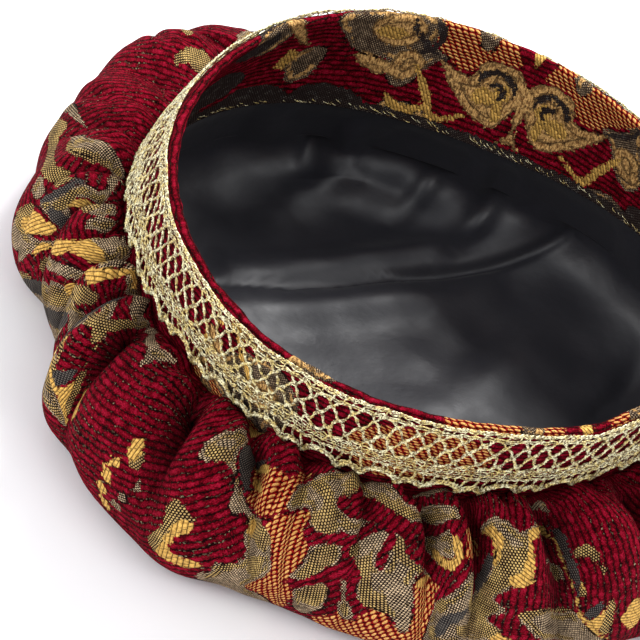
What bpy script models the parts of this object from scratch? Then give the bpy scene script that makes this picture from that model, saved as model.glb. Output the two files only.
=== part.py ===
"""A gathered brocade Tudor bonnet, lying upside down on its crown with the head opening up.

Units are metres and +Z is up. The origin is on the flat underside of the resting crown, under the
middle of the head opening. Azimuth 0 is +X and azimuth 90 is +Y. The bonnet is four sewn pieces:
a full crown gathered on to a head band, the band's pierced metal-thread lace, and a satin lining.
"""

import math

import bmesh
import bpy
import numpy as np

MM = 0.001

# Driving sizes
SEAM_HEIGHT = 46 * MM
BAND_HEIGHT = 44 * MM
BAND_WALL = 3.4 * MM
BAND_BOW = 1.6 * MM
CROWN_WALL = 1.8 * MM
LINING_WALL = 1.0 * MM
SEW_GAP = 0.3 * MM
LACE_WIDTH = 36 * MM
LACE_WALL = 1.0 * MM
LACE_BELOW_RIM = 3.0 * MM
LACE_FOOT_SHARE = 1 - (LACE_BELOW_RIM + LACE_WIDTH) / BAND_HEIGHT
LACE_REPEATS = 29

# Faceting
STEPS_PER_FOLD = 4
BAND_STEPS = 58
BAND_FACE_ROWS = 3
LINING_STEPS = 40
LACE_COLUMNS = 3
MERGE_DISTANCE = 1e-6
SHARP_ANGLE = math.radians(50)

# Each ring is its mean radius plus waves round the head: waves, size in mm, azimuth of a crest
SEAM_MEAN = 92.7 * MM
SEAM_WAVES = ((1, 6.5, 92), (2, 6.7, -4), (3, 4.2, 25))
RIM_MEAN = 92.4 * MM
RIM_WAVES = ((1, 2.8, -4), (2, 1.8, -36), (3, 1.7, 2))

# Where the band has slumped: azimuth, half width in degrees, drop of the rim in mm
RIM_DIPS = ((311, 9, 3.0), (205, 16, 1.0), (30, 20, 1.5))

# Radius of the crown's widest line in mm, at even azimuths from 0
CROWN_OUTLINE = (140, 145, 148, 150, 151, 150, 146, 153, 141, 132, 113, 120, 121, 112, 114, 120, 127, 134)

# Dents and swellings of that line: azimuth, half width in degrees, size in mm
OUTLINE_DENTS = ((170, 5, -3), (187, 4, -6), (211, 5, 4), (340, 8, -4), (20, 9, 4), (75, 10, -3))

# The crown from seam to foot: share of the way, share of the overhang, roll under and height in mm
CROWN_PROFILE = (
    (0.00, 0.00, 0, 45.7),
    (0.08, 0.07, 0, 46.0),
    (0.18, 0.22, 0, 49.5),
    (0.30, 0.44, 0, 50.5),
    (0.42, 0.66, 0, 47.0),
    (0.54, 0.84, 0, 40.0),
    (0.66, 0.95, 0, 30.0),
    (0.78, 1.00, 0, 19.0),
    (0.88, 1.00, 3, 8.5),
    (0.95, 1.00, 9, 2.2),
    (1.00, 1.00, 18, 0.0),
)
CROWN_INNER_ROWS = (0, 1, 3, 5, 7, 8, 9, 10)

# A row for each gather's valley: azimuth at the seam, at the crest and at the edge, depth in mm,
# share of the way at which it has died out, and how far the puff after it stands up in mm
GATHERS = (
    (2, 1, 359, 8, 0.80, 2.5),
    (15, 15, 14, 10, 0.85, 2.0),
    (29, 30, 32, 8, 0.70, 3.0),
    (42, 43, 45, 11, 0.95, 2.0),
    (55, 55, 54, 7, 0.70, 2.5),
    (69, 70, 71, 10, 0.85, 3.0),
    (82, 82, 82, 8, 0.75, 2.0),
    (96, 95, 94, 10, 0.90, 2.5),
    (110, 110, 111, 8, 0.80, 2.0),
    (123, 123, 123, 6, 0.65, 2.0),
    (136, 136, 137, 3, 0.60, 1.5),
    (150, 150, 151, 3, 0.60, 1.5),
    (164, 165, 167, 5, 0.75, 2.0),
    (175, 176, 182, 8, 1.00, 1.5),
    (182, 183, 187, 10, 1.00, 3.0),
    (189, 191, 193, 6, 1.00, 2.5),
    (196, 197, 198, 8, 1.00, 2.5),
    (205, 205, 206, 7, 1.00, 1.5),
    (213, 214, 219, 14, 1.00, 3.0),
    (232, 236, 241, 14, 0.85, 3.0),
    (245, 251, 258, 11, 0.80, 2.0),
    (258, 260, 264, 5, 0.55, 2.5),
    (270, 272, 274, 6, 0.60, 2.5),
    (281, 284, 286, 10, 0.75, 2.0),
    (292, 293, 293, 13, 0.85, 3.0),
    (306, 307, 308, 13, 0.95, 2.0),
    (326, 325, 322, 11, 0.90, 3.0),
    (343, 342, 341, 9, 0.85, 2.0),
)
# How open a valley is at the seam, and how narrow it is against its puffs
SEAM_PINCH = 0.25
VALLEY_SHARPNESS = 1.6

# Shares of the way from seam to foot: the crest, the widest line, and where the puffs die out
CREST_SHARE = 0.26
WIDEST_SHARE = 0.78
PUFF_END_SHARE = 0.80
SLOPE_REACH = 0.02

# The lining from seam to middle: share of the way, distance out from the seam in mm, height in mm
LINING_PROFILE = (
    (0.00, -2.6, 44.6),
    (0.16, 1.5, 36.0),
    (0.34, 4.0, 23.0),
    (0.52, -2.0, 11.0),
    (0.70, -16.0, 5.5),
    (0.85, -36.0, 4.6),
    (1.00, -62.0, 4.6),
)
LINING_SAG_WAVES = ((3, 1.6, 40), (5, 1.3, 10), (8, 0.9, 22))

# The lace's bars: heights above its points in mm, and the gap's share of each diamond
LACE_FAN_BAR = 10.0
LACE_NET_FOOT = 15.0
LACE_NET_HEAD = 31.0
LACE_HOLE_SHARE = 0.76

# The gap in the fan and the edge below it: share of the repeat, height above the points in mm
LACE_FAN_GAP = ((0.34, 5.0), (0.50, 3.6), (0.66, 5.0), (0.50, 7.8))
LACE_EDGE = ((0.0, 3.5), (0.18, 3.1), (0.34, 0.0), (0.50, 1.6), (0.66, 0.0), (0.82, 3.1), (1.0, 3.5))

CLOTH_COLOURS = {
    "crown": (0.32, 0.012, 0.03, 1),
    "band": (0.28, 0.09, 0.03, 1),
    "lace_trim": (0.72, 0.6, 0.32, 1),
    "lining": (0.012, 0.012, 0.014, 1),
}


def clear_scene():
    """Take away whatever the file opened with."""
    for obj in list(bpy.data.objects):
        bpy.data.objects.remove(obj, do_unlink=True)


def cloth_material(name, roughness, metallic):
    """A plain finish in the piece's colour."""
    material = bpy.data.materials.new(name)
    material.use_nodes = True
    shader = material.node_tree.nodes["Principled BSDF"]
    shader.inputs["Base Color"].default_value = CLOTH_COLOURS[name]
    shader.inputs["Roughness"].default_value = roughness
    shader.inputs["Metallic"].default_value = metallic
    return material


def wave_ring(mean, waves, azimuth):
    """Radius of a ring that is a circle plus a few waves round the head."""
    radius = np.full_like(azimuth, mean)
    for count, size, crest in waves:
        radius = radius + size * MM * np.cos(count * (azimuth - math.radians(crest)))
    return radius


def angle_from(azimuth, centre_deg):
    """Signed angle in degrees from a centre azimuth, between -180 and 180."""
    return (np.degrees(azimuth) - centre_deg + 180) % 360 - 180


def swellings(rows, azimuth):
    """Sum of the smooth bumps in a table of azimuth, half width and size in mm."""
    total = np.zeros_like(azimuth)
    for centre, half_width, size in rows:
        total = total + size * MM * np.exp(-((angle_from(azimuth, centre) / half_width) ** 2))
    return total


def smooth_curve(xs, ys, x):
    """A cubic through the points that never overshoots, in the manner of Fritsch and Carlson."""
    xs = np.asarray(xs, float)
    ys = np.asarray(ys, float)
    steps = np.diff(xs)
    slopes = np.diff(ys) / steps
    tangents = np.empty_like(ys)
    tangents[0] = slopes[0]
    tangents[-1] = slopes[-1]
    same_way = slopes[:-1] * slopes[1:] > 0
    harmonic = 2 * slopes[:-1] * slopes[1:] / np.where(same_way, slopes[:-1] + slopes[1:], 1)
    tangents[1:-1] = np.where(same_way, harmonic, 0)
    i = np.clip(np.searchsorted(xs, x, side="right") - 1, 0, len(steps) - 1)
    t = np.clip((x - xs[i]) / steps[i], 0, 1)
    h00 = (1 + 2 * t) * (1 - t) ** 2
    h01 = t * t * (3 - 2 * t)
    h10 = t * (1 - t) ** 2
    h11 = t * t * (t - 1)
    return h00 * ys[i] + h01 * ys[i + 1] + steps[i] * (h10 * tangents[i] + h11 * tangents[i + 1])


def closed_curve(values, azimuth):
    """A smooth closed curve through values at even azimuths."""
    count = len(values)
    spread = np.arange(-2, count + 3)
    xs = spread * 2 * math.pi / count
    ys = [values[k % count] for k in spread]
    return smooth_curve(xs, ys, azimuth % (2 * math.pi))


def smooth_step(low, high, x):
    """0 below low, 1 above high and smooth between."""
    t = np.clip((x - low) / (high - low), 0, 1)
    return t * t * (3 - 2 * t)


def seam_radius(azimuth):
    """Outer radius of the band at the seam where crown, band and lining meet."""
    return wave_ring(SEAM_MEAN, SEAM_WAVES, azimuth)


def rim_radius(azimuth):
    """Outer radius of the band at its folded rim."""
    return wave_ring(RIM_MEAN, RIM_WAVES, azimuth)


def crown_outline(azimuth):
    """Radius of the crown at its widest."""
    return closed_curve(CROWN_OUTLINE, azimuth) * MM + swellings(OUTLINE_DENTS, azimuth)


def gather_azimuths(share):
    """Azimuth of each gather's valley at a share of the way from seam to foot, unwrapped."""
    rows = np.radians([row[:3] for row in GATHERS])
    rows = np.unwrap(rows, axis=1)
    stations = (0, CREST_SHARE, WIDEST_SHARE)
    lines = np.array([np.interp(share, stations, row) for row in rows])
    return np.unwrap(lines)


def gather_lattice(share, steps):
    """Azimuths along which the crown is faceted, steps to a gather, with the gather and part of it."""
    lines = gather_azimuths(share)
    lines = np.append(lines, lines[0] + 2 * math.pi)
    gather = np.repeat(np.arange(len(GATHERS)), steps)
    part = np.tile(np.arange(steps) / steps, len(GATHERS))
    azimuth = lines[gather] + part * (lines[gather + 1] - lines[gather])
    return azimuth, gather, part


def gather_push(share, gather, part):
    """How far the gathers move the cloth outwards: puffs are positive and valleys negative."""
    table = np.array([row[3:] for row in GATHERS], float)
    following = (gather + 1) % len(GATHERS)

    def valley_depth(which):
        depth = table[which, 0] * MM
        reach = table[which, 1]
        opening = SEAM_PINCH + (1 - SEAM_PINCH) * smooth_step(0, CREST_SHARE, share)
        return depth * opening * (1 - smooth_step(CREST_SHARE, 1, share / reach))

    depth = valley_depth(gather) * (1 - part) + valley_depth(following) * part
    puff = table[gather, 2] * MM * math.sin(math.pi * min(share / PUFF_END_SHARE, 1))
    hollow = (1 - np.sin(math.pi * part)) ** VALLEY_SHARPNESS
    return puff - (depth + puff) * hollow


def crown_ring(share, steps):
    """One ring of points of the crown's outer face."""
    azimuth, gather, part = gather_lattice(share, steps)
    stations, outs, rolls, heights = np.array(CROWN_PROFILE).T
    seam = seam_radius(azimuth)
    overhang = crown_outline(azimuth) - seam

    def profile(at):
        radius = seam + overhang * smooth_curve(stations, outs, at) - smooth_curve(stations, rolls, at) * MM
        height = np.full_like(azimuth, smooth_curve(stations, heights, at) * MM)
        return radius, height

    radius, height = profile(share)
    before = profile(max(share - SLOPE_REACH, 0))
    after = profile(min(share + SLOPE_REACH, 1))
    run, rise = after[0] - before[0], after[1] - before[1]
    length = np.hypot(run, rise)
    push = gather_push(share, gather, part)
    radius = radius - push * rise / length
    height = np.maximum(height + push * run / length, 0)
    return np.stack([radius * np.cos(azimuth), radius * np.sin(azimuth), height], axis=1)


def band_top(azimuth):
    """Height of the band's folded rim."""
    lean = rim_radius(azimuth) - seam_radius(azimuth)
    upright = np.sqrt(BAND_HEIGHT**2 - lean**2)
    return SEAM_HEIGHT + upright - swellings(RIM_DIPS, azimuth)


def band_face(azimuth, share, inset):
    """Points on the band at a share of its height, set in from its outer face."""
    seam, rim = seam_radius(azimuth), rim_radius(azimuth)
    bow = BAND_BOW * np.sin(math.pi * share)
    radius = seam + (rim - seam) * share + bow - inset
    height = SEAM_HEIGHT + (band_top(azimuth) - SEAM_HEIGHT) * share
    return np.stack([radius * np.cos(azimuth), radius * np.sin(azimuth), height], axis=-1)


def solid_object(name, shape, roughness, metallic):
    """A named object with its own material from a closed bmesh, which this frees."""
    bmesh.ops.recalc_face_normals(shape, faces=shape.faces)
    mesh = bpy.data.meshes.new(name)
    shape.to_mesh(mesh)
    shape.free()
    mesh.shade_smooth()
    mesh.set_sharp_from_angle(angle=SHARP_ANGLE)
    mesh.materials.append(cloth_material(name, roughness, metallic))
    obj = bpy.data.objects.new(name, mesh)
    bpy.context.scene.collection.objects.link(obj)
    return obj


def ring_shape(rings, closed):
    """A bmesh with quads between rings of points, the last ring joined to the first if closed."""
    shape = bmesh.new()
    rows = [[shape.verts.new(place) for place in ring] for ring in rings]
    if closed:
        rows.append(rows[0])
    columns = len(rings[0])
    for upper, lower in zip(rows, rows[1:]):
        for column in range(columns):
            beside = (column + 1) % columns
            shape.faces.new((upper[column], lower[column], lower[beside], upper[beside]))
    if not closed:
        shape.faces.new(rows[0])
        shape.faces.new(rows[-1][::-1])
    return shape


def ring_normals(rings):
    """Outward directions at each point of a stack of rings, from seam to foot."""
    grid = np.array(rings)
    along = np.gradient(grid, axis=0)
    round_it = np.roll(grid, -1, axis=1) - np.roll(grid, 1, axis=1)
    normal = np.cross(along, round_it)
    return normal / np.linalg.norm(normal, axis=2, keepdims=True)


def build_crown():
    """The gathered crown: a soft bag that opens at the head seam and rests on its flat top."""
    outer = [crown_ring(row[0], STEPS_PER_FOLD) for row in CROWN_PROFILE]
    normal = ring_normals(outer)
    inner = [ring - CROWN_WALL * side for ring, side in zip(outer, normal)]
    for ring in inner:
        ring[:, 2] = np.maximum(ring[:, 2], CROWN_WALL)
    inner[-1][:, 2] = CROWN_WALL
    azimuth = gather_lattice(0, STEPS_PER_FOLD)[0]
    edge = seam_radius(azimuth) - CROWN_WALL
    inner[0] = np.stack([edge * np.cos(azimuth), edge * np.sin(azimuth), outer[0][:, 2]], axis=1)
    inner[0][:, 2] = outer[0][:, 2] = SEAM_HEIGHT - SEW_GAP
    shape = ring_shape(outer[::-1] + [inner[row] for row in CROWN_INNER_ROWS], closed=False)
    return solid_object("crown", shape, 0.8, 0.0)


def build_band():
    """The stiffened head band, folded over at the rim."""
    azimuth = np.linspace(0, 2 * math.pi, BAND_STEPS, endpoint=False)
    turn = BAND_WALL / 2
    straight = 1 - turn / BAND_HEIGHT
    section = [(straight * row / BAND_FACE_ROWS, 0.0) for row in range(BAND_FACE_ROWS + 1)]
    section.append((1.0, turn))
    section += [(share, BAND_WALL) for share, _ in reversed(section[:-1])]
    rings = [band_face(azimuth, share, inset) for share, inset in section]
    return solid_object("band", ring_shape(rings, closed=True), 0.75, 0.0)


def lining_ring(share, azimuth, inset):
    """One ring of points of the lining's outer face, or set in from it."""
    stations, outs, heights = np.array(LINING_PROFILE).T
    waves = wave_ring(0, LINING_SAG_WAVES, azimuth) * math.sin(math.pi * share)
    out = smooth_curve(stations, outs, share) * MM - inset * (1 - share)
    radius = seam_radius(azimuth) + out + waves
    rise = inset * smooth_step(0.2, 0.6, share)
    height = smooth_curve(stations, heights, share) * MM + rise + np.maximum(waves, 0) * share
    return np.stack([radius * np.cos(azimuth), radius * np.sin(azimuth), height], axis=1)


def build_lining():
    """The satin lining: a slack bowl sewn in at the head seam that lies on the crown's inside."""
    azimuth = np.linspace(0, 2 * math.pi, LINING_STEPS, endpoint=False)
    shares = [row[0] for row in LINING_PROFILE]
    outer = [lining_ring(share, azimuth, 0.0) for share in shares]
    inner = [lining_ring(share, azimuth, LINING_WALL) for share in shares]
    outer[0][:, 2] = inner[0][:, 2] = SEAM_HEIGHT - SEW_GAP
    return solid_object("lining", ring_shape(outer[::-1] + inner, closed=False), 0.35, 0.0)


def lace_net(pitch):
    """Faces of the net over one pair of gaps: four bars round a diamond gap, then the plain strips."""
    left, centre, right = 0, pitch / 2, pitch
    middle = (LACE_NET_FOOT + LACE_NET_HEAD) / 2
    crossings = [(left, middle), (centre, LACE_NET_FOOT), (right, middle), (centre, LACE_NET_HEAD)]
    gap = [
        (centre + (x - centre) * LACE_HOLE_SHARE, middle + (y - middle) * LACE_HOLE_SHARE)
        for x, y in crossings
    ]
    faces = []
    for this in range(4):
        following = (this + 1) % 4
        faces.append((crossings[this], crossings[following], gap[following], gap[this]))
    for side in (left, right):
        faces.append(((side, middle), (side, LACE_NET_FOOT), (centre, LACE_NET_FOOT)))
        faces.append(((side, middle), (centre, LACE_NET_HEAD), (side, LACE_NET_HEAD)))
        faces.append(
            ((side, LACE_FAN_BAR), (centre, LACE_FAN_BAR), (centre, LACE_NET_FOOT), (side, LACE_NET_FOOT))
        )
    top = LACE_WIDTH / MM
    net_head = [(x, LACE_NET_HEAD) for x in (left, centre, right)]
    faces.append((*net_head, (right, top), (left, top)))
    return faces


def lace_fan(repeat_width, pitch):
    """Faces of the scalloped edge of one repeat: two points, a bay between repeats, and one gap."""
    bar = [(pitch * step / 2, LACE_FAN_BAR) for step in range(2 * LACE_COLUMNS + 1)]
    edge = [(share * repeat_width, height) for share, height in LACE_EDGE]
    left, low, right, high = [(share * repeat_width, height) for share, height in LACE_FAN_GAP]
    return [
        (edge[0], edge[1], bar[1], bar[0]),
        (edge[1], edge[2], left, bar[1]),
        (bar[1], left, bar[2]),
        (edge[2], edge[3], low, left),
        (edge[3], edge[4], right, low),
        (bar[2], left, high, bar[3]),
        (bar[3], high, right, bar[4]),
        (edge[4], edge[5], bar[5], right),
        (right, bar[5], bar[4]),
        (edge[5], edge[6], bar[6], bar[5]),
    ]


def build_lace():
    """The metal-thread lace on the outside of the band, pierced, with its points towards the crown."""
    azimuth = np.linspace(0, 2 * math.pi, 721)
    repeat_width = float(rim_radius(azimuth[1:]).mean()) * 2 * math.pi / LACE_REPEATS / MM
    pitch = repeat_width / LACE_COLUMNS
    repeat = lace_fan(repeat_width, pitch)
    for column in range(LACE_COLUMNS):
        repeat += [tuple((x + column * pitch, y) for x, y in face) for face in lace_net(pitch)]
    flat = np.array([corner for face in repeat for corner in face])
    turns = flat[:, 0] / repeat_width + np.arange(LACE_REPEATS)[:, None]
    azimuth = (turns * 2 * math.pi / LACE_REPEATS).ravel()
    share = np.tile(LACE_FOOT_SHARE + flat[:, 1] * MM / BAND_HEIGHT, LACE_REPEATS)
    back = band_face(azimuth, share, -SEW_GAP)
    front = band_face(azimuth, share, -SEW_GAP - LACE_WALL)

    shape = bmesh.new()
    front_layer = shape.verts.layers.float_vector.new("front")
    corners = [shape.verts.new(place) for place in back]
    for corner, place in zip(corners, front):
        corner[front_layer] = place
    first = 0
    for face in repeat * LACE_REPEATS:
        shape.faces.new(corners[first : first + len(face)])
        first += len(face)
    bmesh.ops.remove_doubles(shape, verts=shape.verts, dist=MERGE_DISTANCE)
    made = bmesh.ops.extrude_face_region(shape, geom=shape.faces[:])
    for item in made["geom"]:
        if isinstance(item, bmesh.types.BMVert):
            item.co = item[front_layer]
    return solid_object("lace_trim", shape, 0.4, 0.7)


clear_scene()
build_crown()
build_band()
build_lining()
build_lace()
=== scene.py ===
"""The looks of a gathered brocade Tudor bonnet that lies upside down on its crown.

The bonnet is four sewn pieces: a full crown of figured brocade gathered on to a head band, the
folded band of the same cloth, metal-thread bobbin lace on the outside of the band, and a black
satin lining. Units are metres. Azimuth 0 is +X and azimuth 90 is +Y, away from the camera.
"""

import logging
import math
from collections.abc import Sequence
from dataclasses import dataclass, field
from enum import Enum

import bpy
import numpy as np
from mathutils import Matrix


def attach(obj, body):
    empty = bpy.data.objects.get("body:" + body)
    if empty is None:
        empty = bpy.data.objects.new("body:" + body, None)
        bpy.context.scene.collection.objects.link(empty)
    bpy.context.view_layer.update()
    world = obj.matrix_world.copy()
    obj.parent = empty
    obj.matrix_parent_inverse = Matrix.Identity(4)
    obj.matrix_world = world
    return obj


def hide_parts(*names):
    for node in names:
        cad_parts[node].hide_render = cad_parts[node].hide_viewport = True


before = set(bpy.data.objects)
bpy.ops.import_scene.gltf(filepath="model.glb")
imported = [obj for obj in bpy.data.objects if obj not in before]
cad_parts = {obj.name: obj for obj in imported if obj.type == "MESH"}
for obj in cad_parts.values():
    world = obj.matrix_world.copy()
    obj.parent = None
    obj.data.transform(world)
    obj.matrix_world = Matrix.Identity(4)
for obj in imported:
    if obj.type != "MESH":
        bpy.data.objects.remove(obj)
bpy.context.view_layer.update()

MM = 0.001
TAU = 2 * math.pi
BODY = "root"

Array = np.ndarray
Socket = bpy.types.NodeSocket

log = logging.getLogger("bonnet")


class Held(Enum):
    """How a sheet of cloth is held in the finished bonnet."""

    GATHERED = "gathered"
    FOLDED = "folded"
    DRAPED = "draped"


class Slot(Enum):
    """The record's material slots."""

    CROWN = "crown_brocade"
    BAND = "band_brocade"
    LACE = "gold_lace"
    LINING = "black_satin"


def smooth_step(low: float, high: float, x: Array) -> Array:
    """0 below low, 1 above high and smooth between."""
    t = np.clip((np.asarray(x, float) - low) / (high - low), 0, 1)
    return t * t * (3 - 2 * t)


def smooth_curve(xs: Sequence[float], ys: Sequence[float], x: Array) -> Array:
    """A cubic through points that never overshoots them.

    Args:
        xs: The points' places, rising.
        ys: The points' values.
        x: Where to read the curve.

    Returns:
        The curve's values at x.
    """
    xs = np.asarray(xs, float)
    ys = np.asarray(ys, float)
    steps = np.diff(xs)
    slopes = np.diff(ys) / steps
    tangents = np.empty_like(ys)
    tangents[0] = slopes[0]
    tangents[-1] = slopes[-1]
    same_way = slopes[:-1] * slopes[1:] > 0
    harmonic = 2 * slopes[:-1] * slopes[1:] / np.where(same_way, slopes[:-1] + slopes[1:], 1)
    tangents[1:-1] = np.where(same_way, harmonic, 0)
    i = np.clip(np.searchsorted(xs, x, side="right") - 1, 0, len(steps) - 1)
    t = np.clip((x - xs[i]) / steps[i], 0, 1)
    h00 = (1 + 2 * t) * (1 - t) ** 2
    h01 = t * t * (3 - 2 * t)
    h10 = t * (1 - t) ** 2
    h11 = t * t * (t - 1)
    return h00 * ys[i] + h01 * ys[i + 1] + steps[i] * (h10 * tangents[i] + h11 * tangents[i + 1])


def angle_from(azimuth: Array, centre_deg: float) -> Array:
    """Signed angle in degrees from a centre azimuth, between -180 and 180."""
    return (np.degrees(azimuth) - centre_deg + 180) % 360 - 180


def ripple(points: Array, wavelength: float, seed: int, waves: int = 9) -> Array:
    """A smooth random field, about -1 to 1, that is the same each run.

    Args:
        points: Places, with the last axis holding the coordinates.
        wavelength: The usual distance between crests, in the units of points.
        seed: Picks the field.
        waves: How many plane waves it is made of.

    Returns:
        The field's value at each place.
    """
    rng = np.random.default_rng(seed)
    size = points.shape[-1]
    total = np.zeros(points.shape[:-1])
    for _ in range(waves):
        way = rng.normal(size=size)
        way *= TAU / (wavelength * rng.uniform(0.7, 1.5) * np.linalg.norm(way))
        total += np.sin(points @ way + rng.uniform(0, TAU))
    return total / math.sqrt(waves / 2) / 1.6


@dataclass(frozen=True)
class BonnetForm:
    """The rings and profiles that every piece of the bonnet is cut to, the same as its solids'.

    Rings are a mean radius plus waves round the head: waves, size in mm, azimuth of a crest.
    """

    seam_height: float = 46 * MM
    band_height: float = 44 * MM
    band_wall: float = 3.4 * MM
    band_bow: float = 1.6 * MM
    sew_gap: float = 0.3 * MM
    seam_mean: float = 92.7 * MM
    seam_waves: tuple = ((1, 6.5, 92), (2, 6.7, -4), (3, 4.2, 25))
    rim_mean: float = 92.4 * MM
    rim_waves: tuple = ((1, 2.8, -4), (2, 1.8, -36), (3, 1.7, 2))
    rim_dips: tuple = ((311, 9, 3.0), (205, 16, 1.0), (30, 20, 1.5))
    outline: tuple = (
        140, 145, 148, 150, 151, 150, 146, 153, 141, 132, 113, 120, 121, 112, 114, 120, 127, 134,
    )
    outline_dents: tuple = (
        (170, 5, -3), (187, 4, -6), (211, 5, 4), (340, 8, -4), (20, 9, 4), (75, 10, -3),
    )

    def ring(self, mean: float, waves: tuple, azimuth: Array) -> Array:
        """Radius of a ring that is a circle plus a few waves.

        Args:
            mean: The circle's radius in metres.
            waves: Rows of waves round the head, size in mm and azimuth of a crest.
            azimuth: Places round the head, in radians.

        Returns:
            The radius in metres at each azimuth.
        """
        radius = np.full_like(azimuth, mean)
        for count, size, crest in waves:
            radius = radius + size * MM * np.cos(count * (azimuth - math.radians(crest)))
        return radius

    def bumps(self, rows: tuple, azimuth: Array) -> Array:
        """Sum of the smooth bumps in a table of azimuth, half width and size in mm.

        Args:
            rows: The table.
            azimuth: Places round the head, in radians.

        Returns:
            The sum in metres at each azimuth.
        """
        total = np.zeros_like(azimuth)
        for centre, half_width, size in rows:
            total = total + size * MM * np.exp(-((angle_from(azimuth, centre) / half_width) ** 2))
        return total

    def seam_radius(self, azimuth: Array) -> Array:
        """Outer radius of the band at the seam."""
        return self.ring(self.seam_mean, self.seam_waves, azimuth)

    def rim_radius(self, azimuth: Array) -> Array:
        """Outer radius of the band at its folded rim."""
        return self.ring(self.rim_mean, self.rim_waves, azimuth)

    def crown_outline(self, azimuth: Array) -> Array:
        """Radius of the crown at its widest.

        Args:
            azimuth: Places round the head, in radians.

        Returns:
            The radius in metres at each azimuth.
        """
        count = len(self.outline)
        spread = np.arange(-2, count + 3)
        values = [self.outline[k % count] for k in spread]
        smooth = smooth_curve(spread * TAU / count, values, azimuth % TAU) * MM
        return smooth + self.bumps(self.outline_dents, azimuth)

    def band_top(self, azimuth: Array) -> Array:
        """Height of the band's folded rim.

        Args:
            azimuth: Places round the head, in radians.

        Returns:
            The height in metres at each azimuth.
        """
        lean = self.rim_radius(azimuth) - self.seam_radius(azimuth)
        upright = np.sqrt(self.band_height**2 - lean**2)
        return self.seam_height + upright - self.bumps(self.rim_dips, azimuth)

    def band_face(self, azimuth: Array, share: Array, inset: Array) -> Array:
        """Points on the band.

        Args:
            azimuth: Round the head, in radians.
            share: Share of the band's height, from the seam to the rim.
            inset: Distance in from the outer face, negative for outwards.

        Returns:
            The points, with x, y and z on a new last axis.
        """
        seam, rim = self.seam_radius(azimuth), self.rim_radius(azimuth)
        bow = self.band_bow * np.sin(math.pi * np.clip(share, 0, 1))
        radius = seam + (rim - seam) * share + bow - inset
        height = self.seam_height + (self.band_top(azimuth) - self.seam_height) * share
        return np.stack([radius * np.cos(azimuth), radius * np.sin(azimuth), height], axis=-1)


FORM = BonnetForm()


class Value:
    """A number, colour or vector that a shader tree works out, with sums written as sums."""

    def __init__(self, graph: "Graph", socket: Socket) -> None:
        """Keeps a socket with the graph that it is on."""
        self.graph = graph
        self.socket = socket

    def __add__(self, other: "Feed") -> "Value":
        """This plus another."""
        return self.graph.math("ADD", self, other)

    def __sub__(self, other: "Feed") -> "Value":
        """This less another."""
        return self.graph.math("SUBTRACT", self, other)

    def __rsub__(self, other: "Feed") -> "Value":
        """Another less this."""
        return self.graph.math("SUBTRACT", other, self)

    def __mul__(self, other: "Feed") -> "Value":
        """This times another."""
        return self.graph.math("MULTIPLY", self, other)

    def __truediv__(self, other: "Feed") -> "Value":
        """This divided by another."""
        return self.graph.math("DIVIDE", self, other)

    def __abs__(self) -> "Value":
        """This without its sign."""
        return self.graph.math("ABSOLUTE", self)

    __radd__ = __add__
    __rmul__ = __mul__


Feed = float | Sequence[float] | Value


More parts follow.
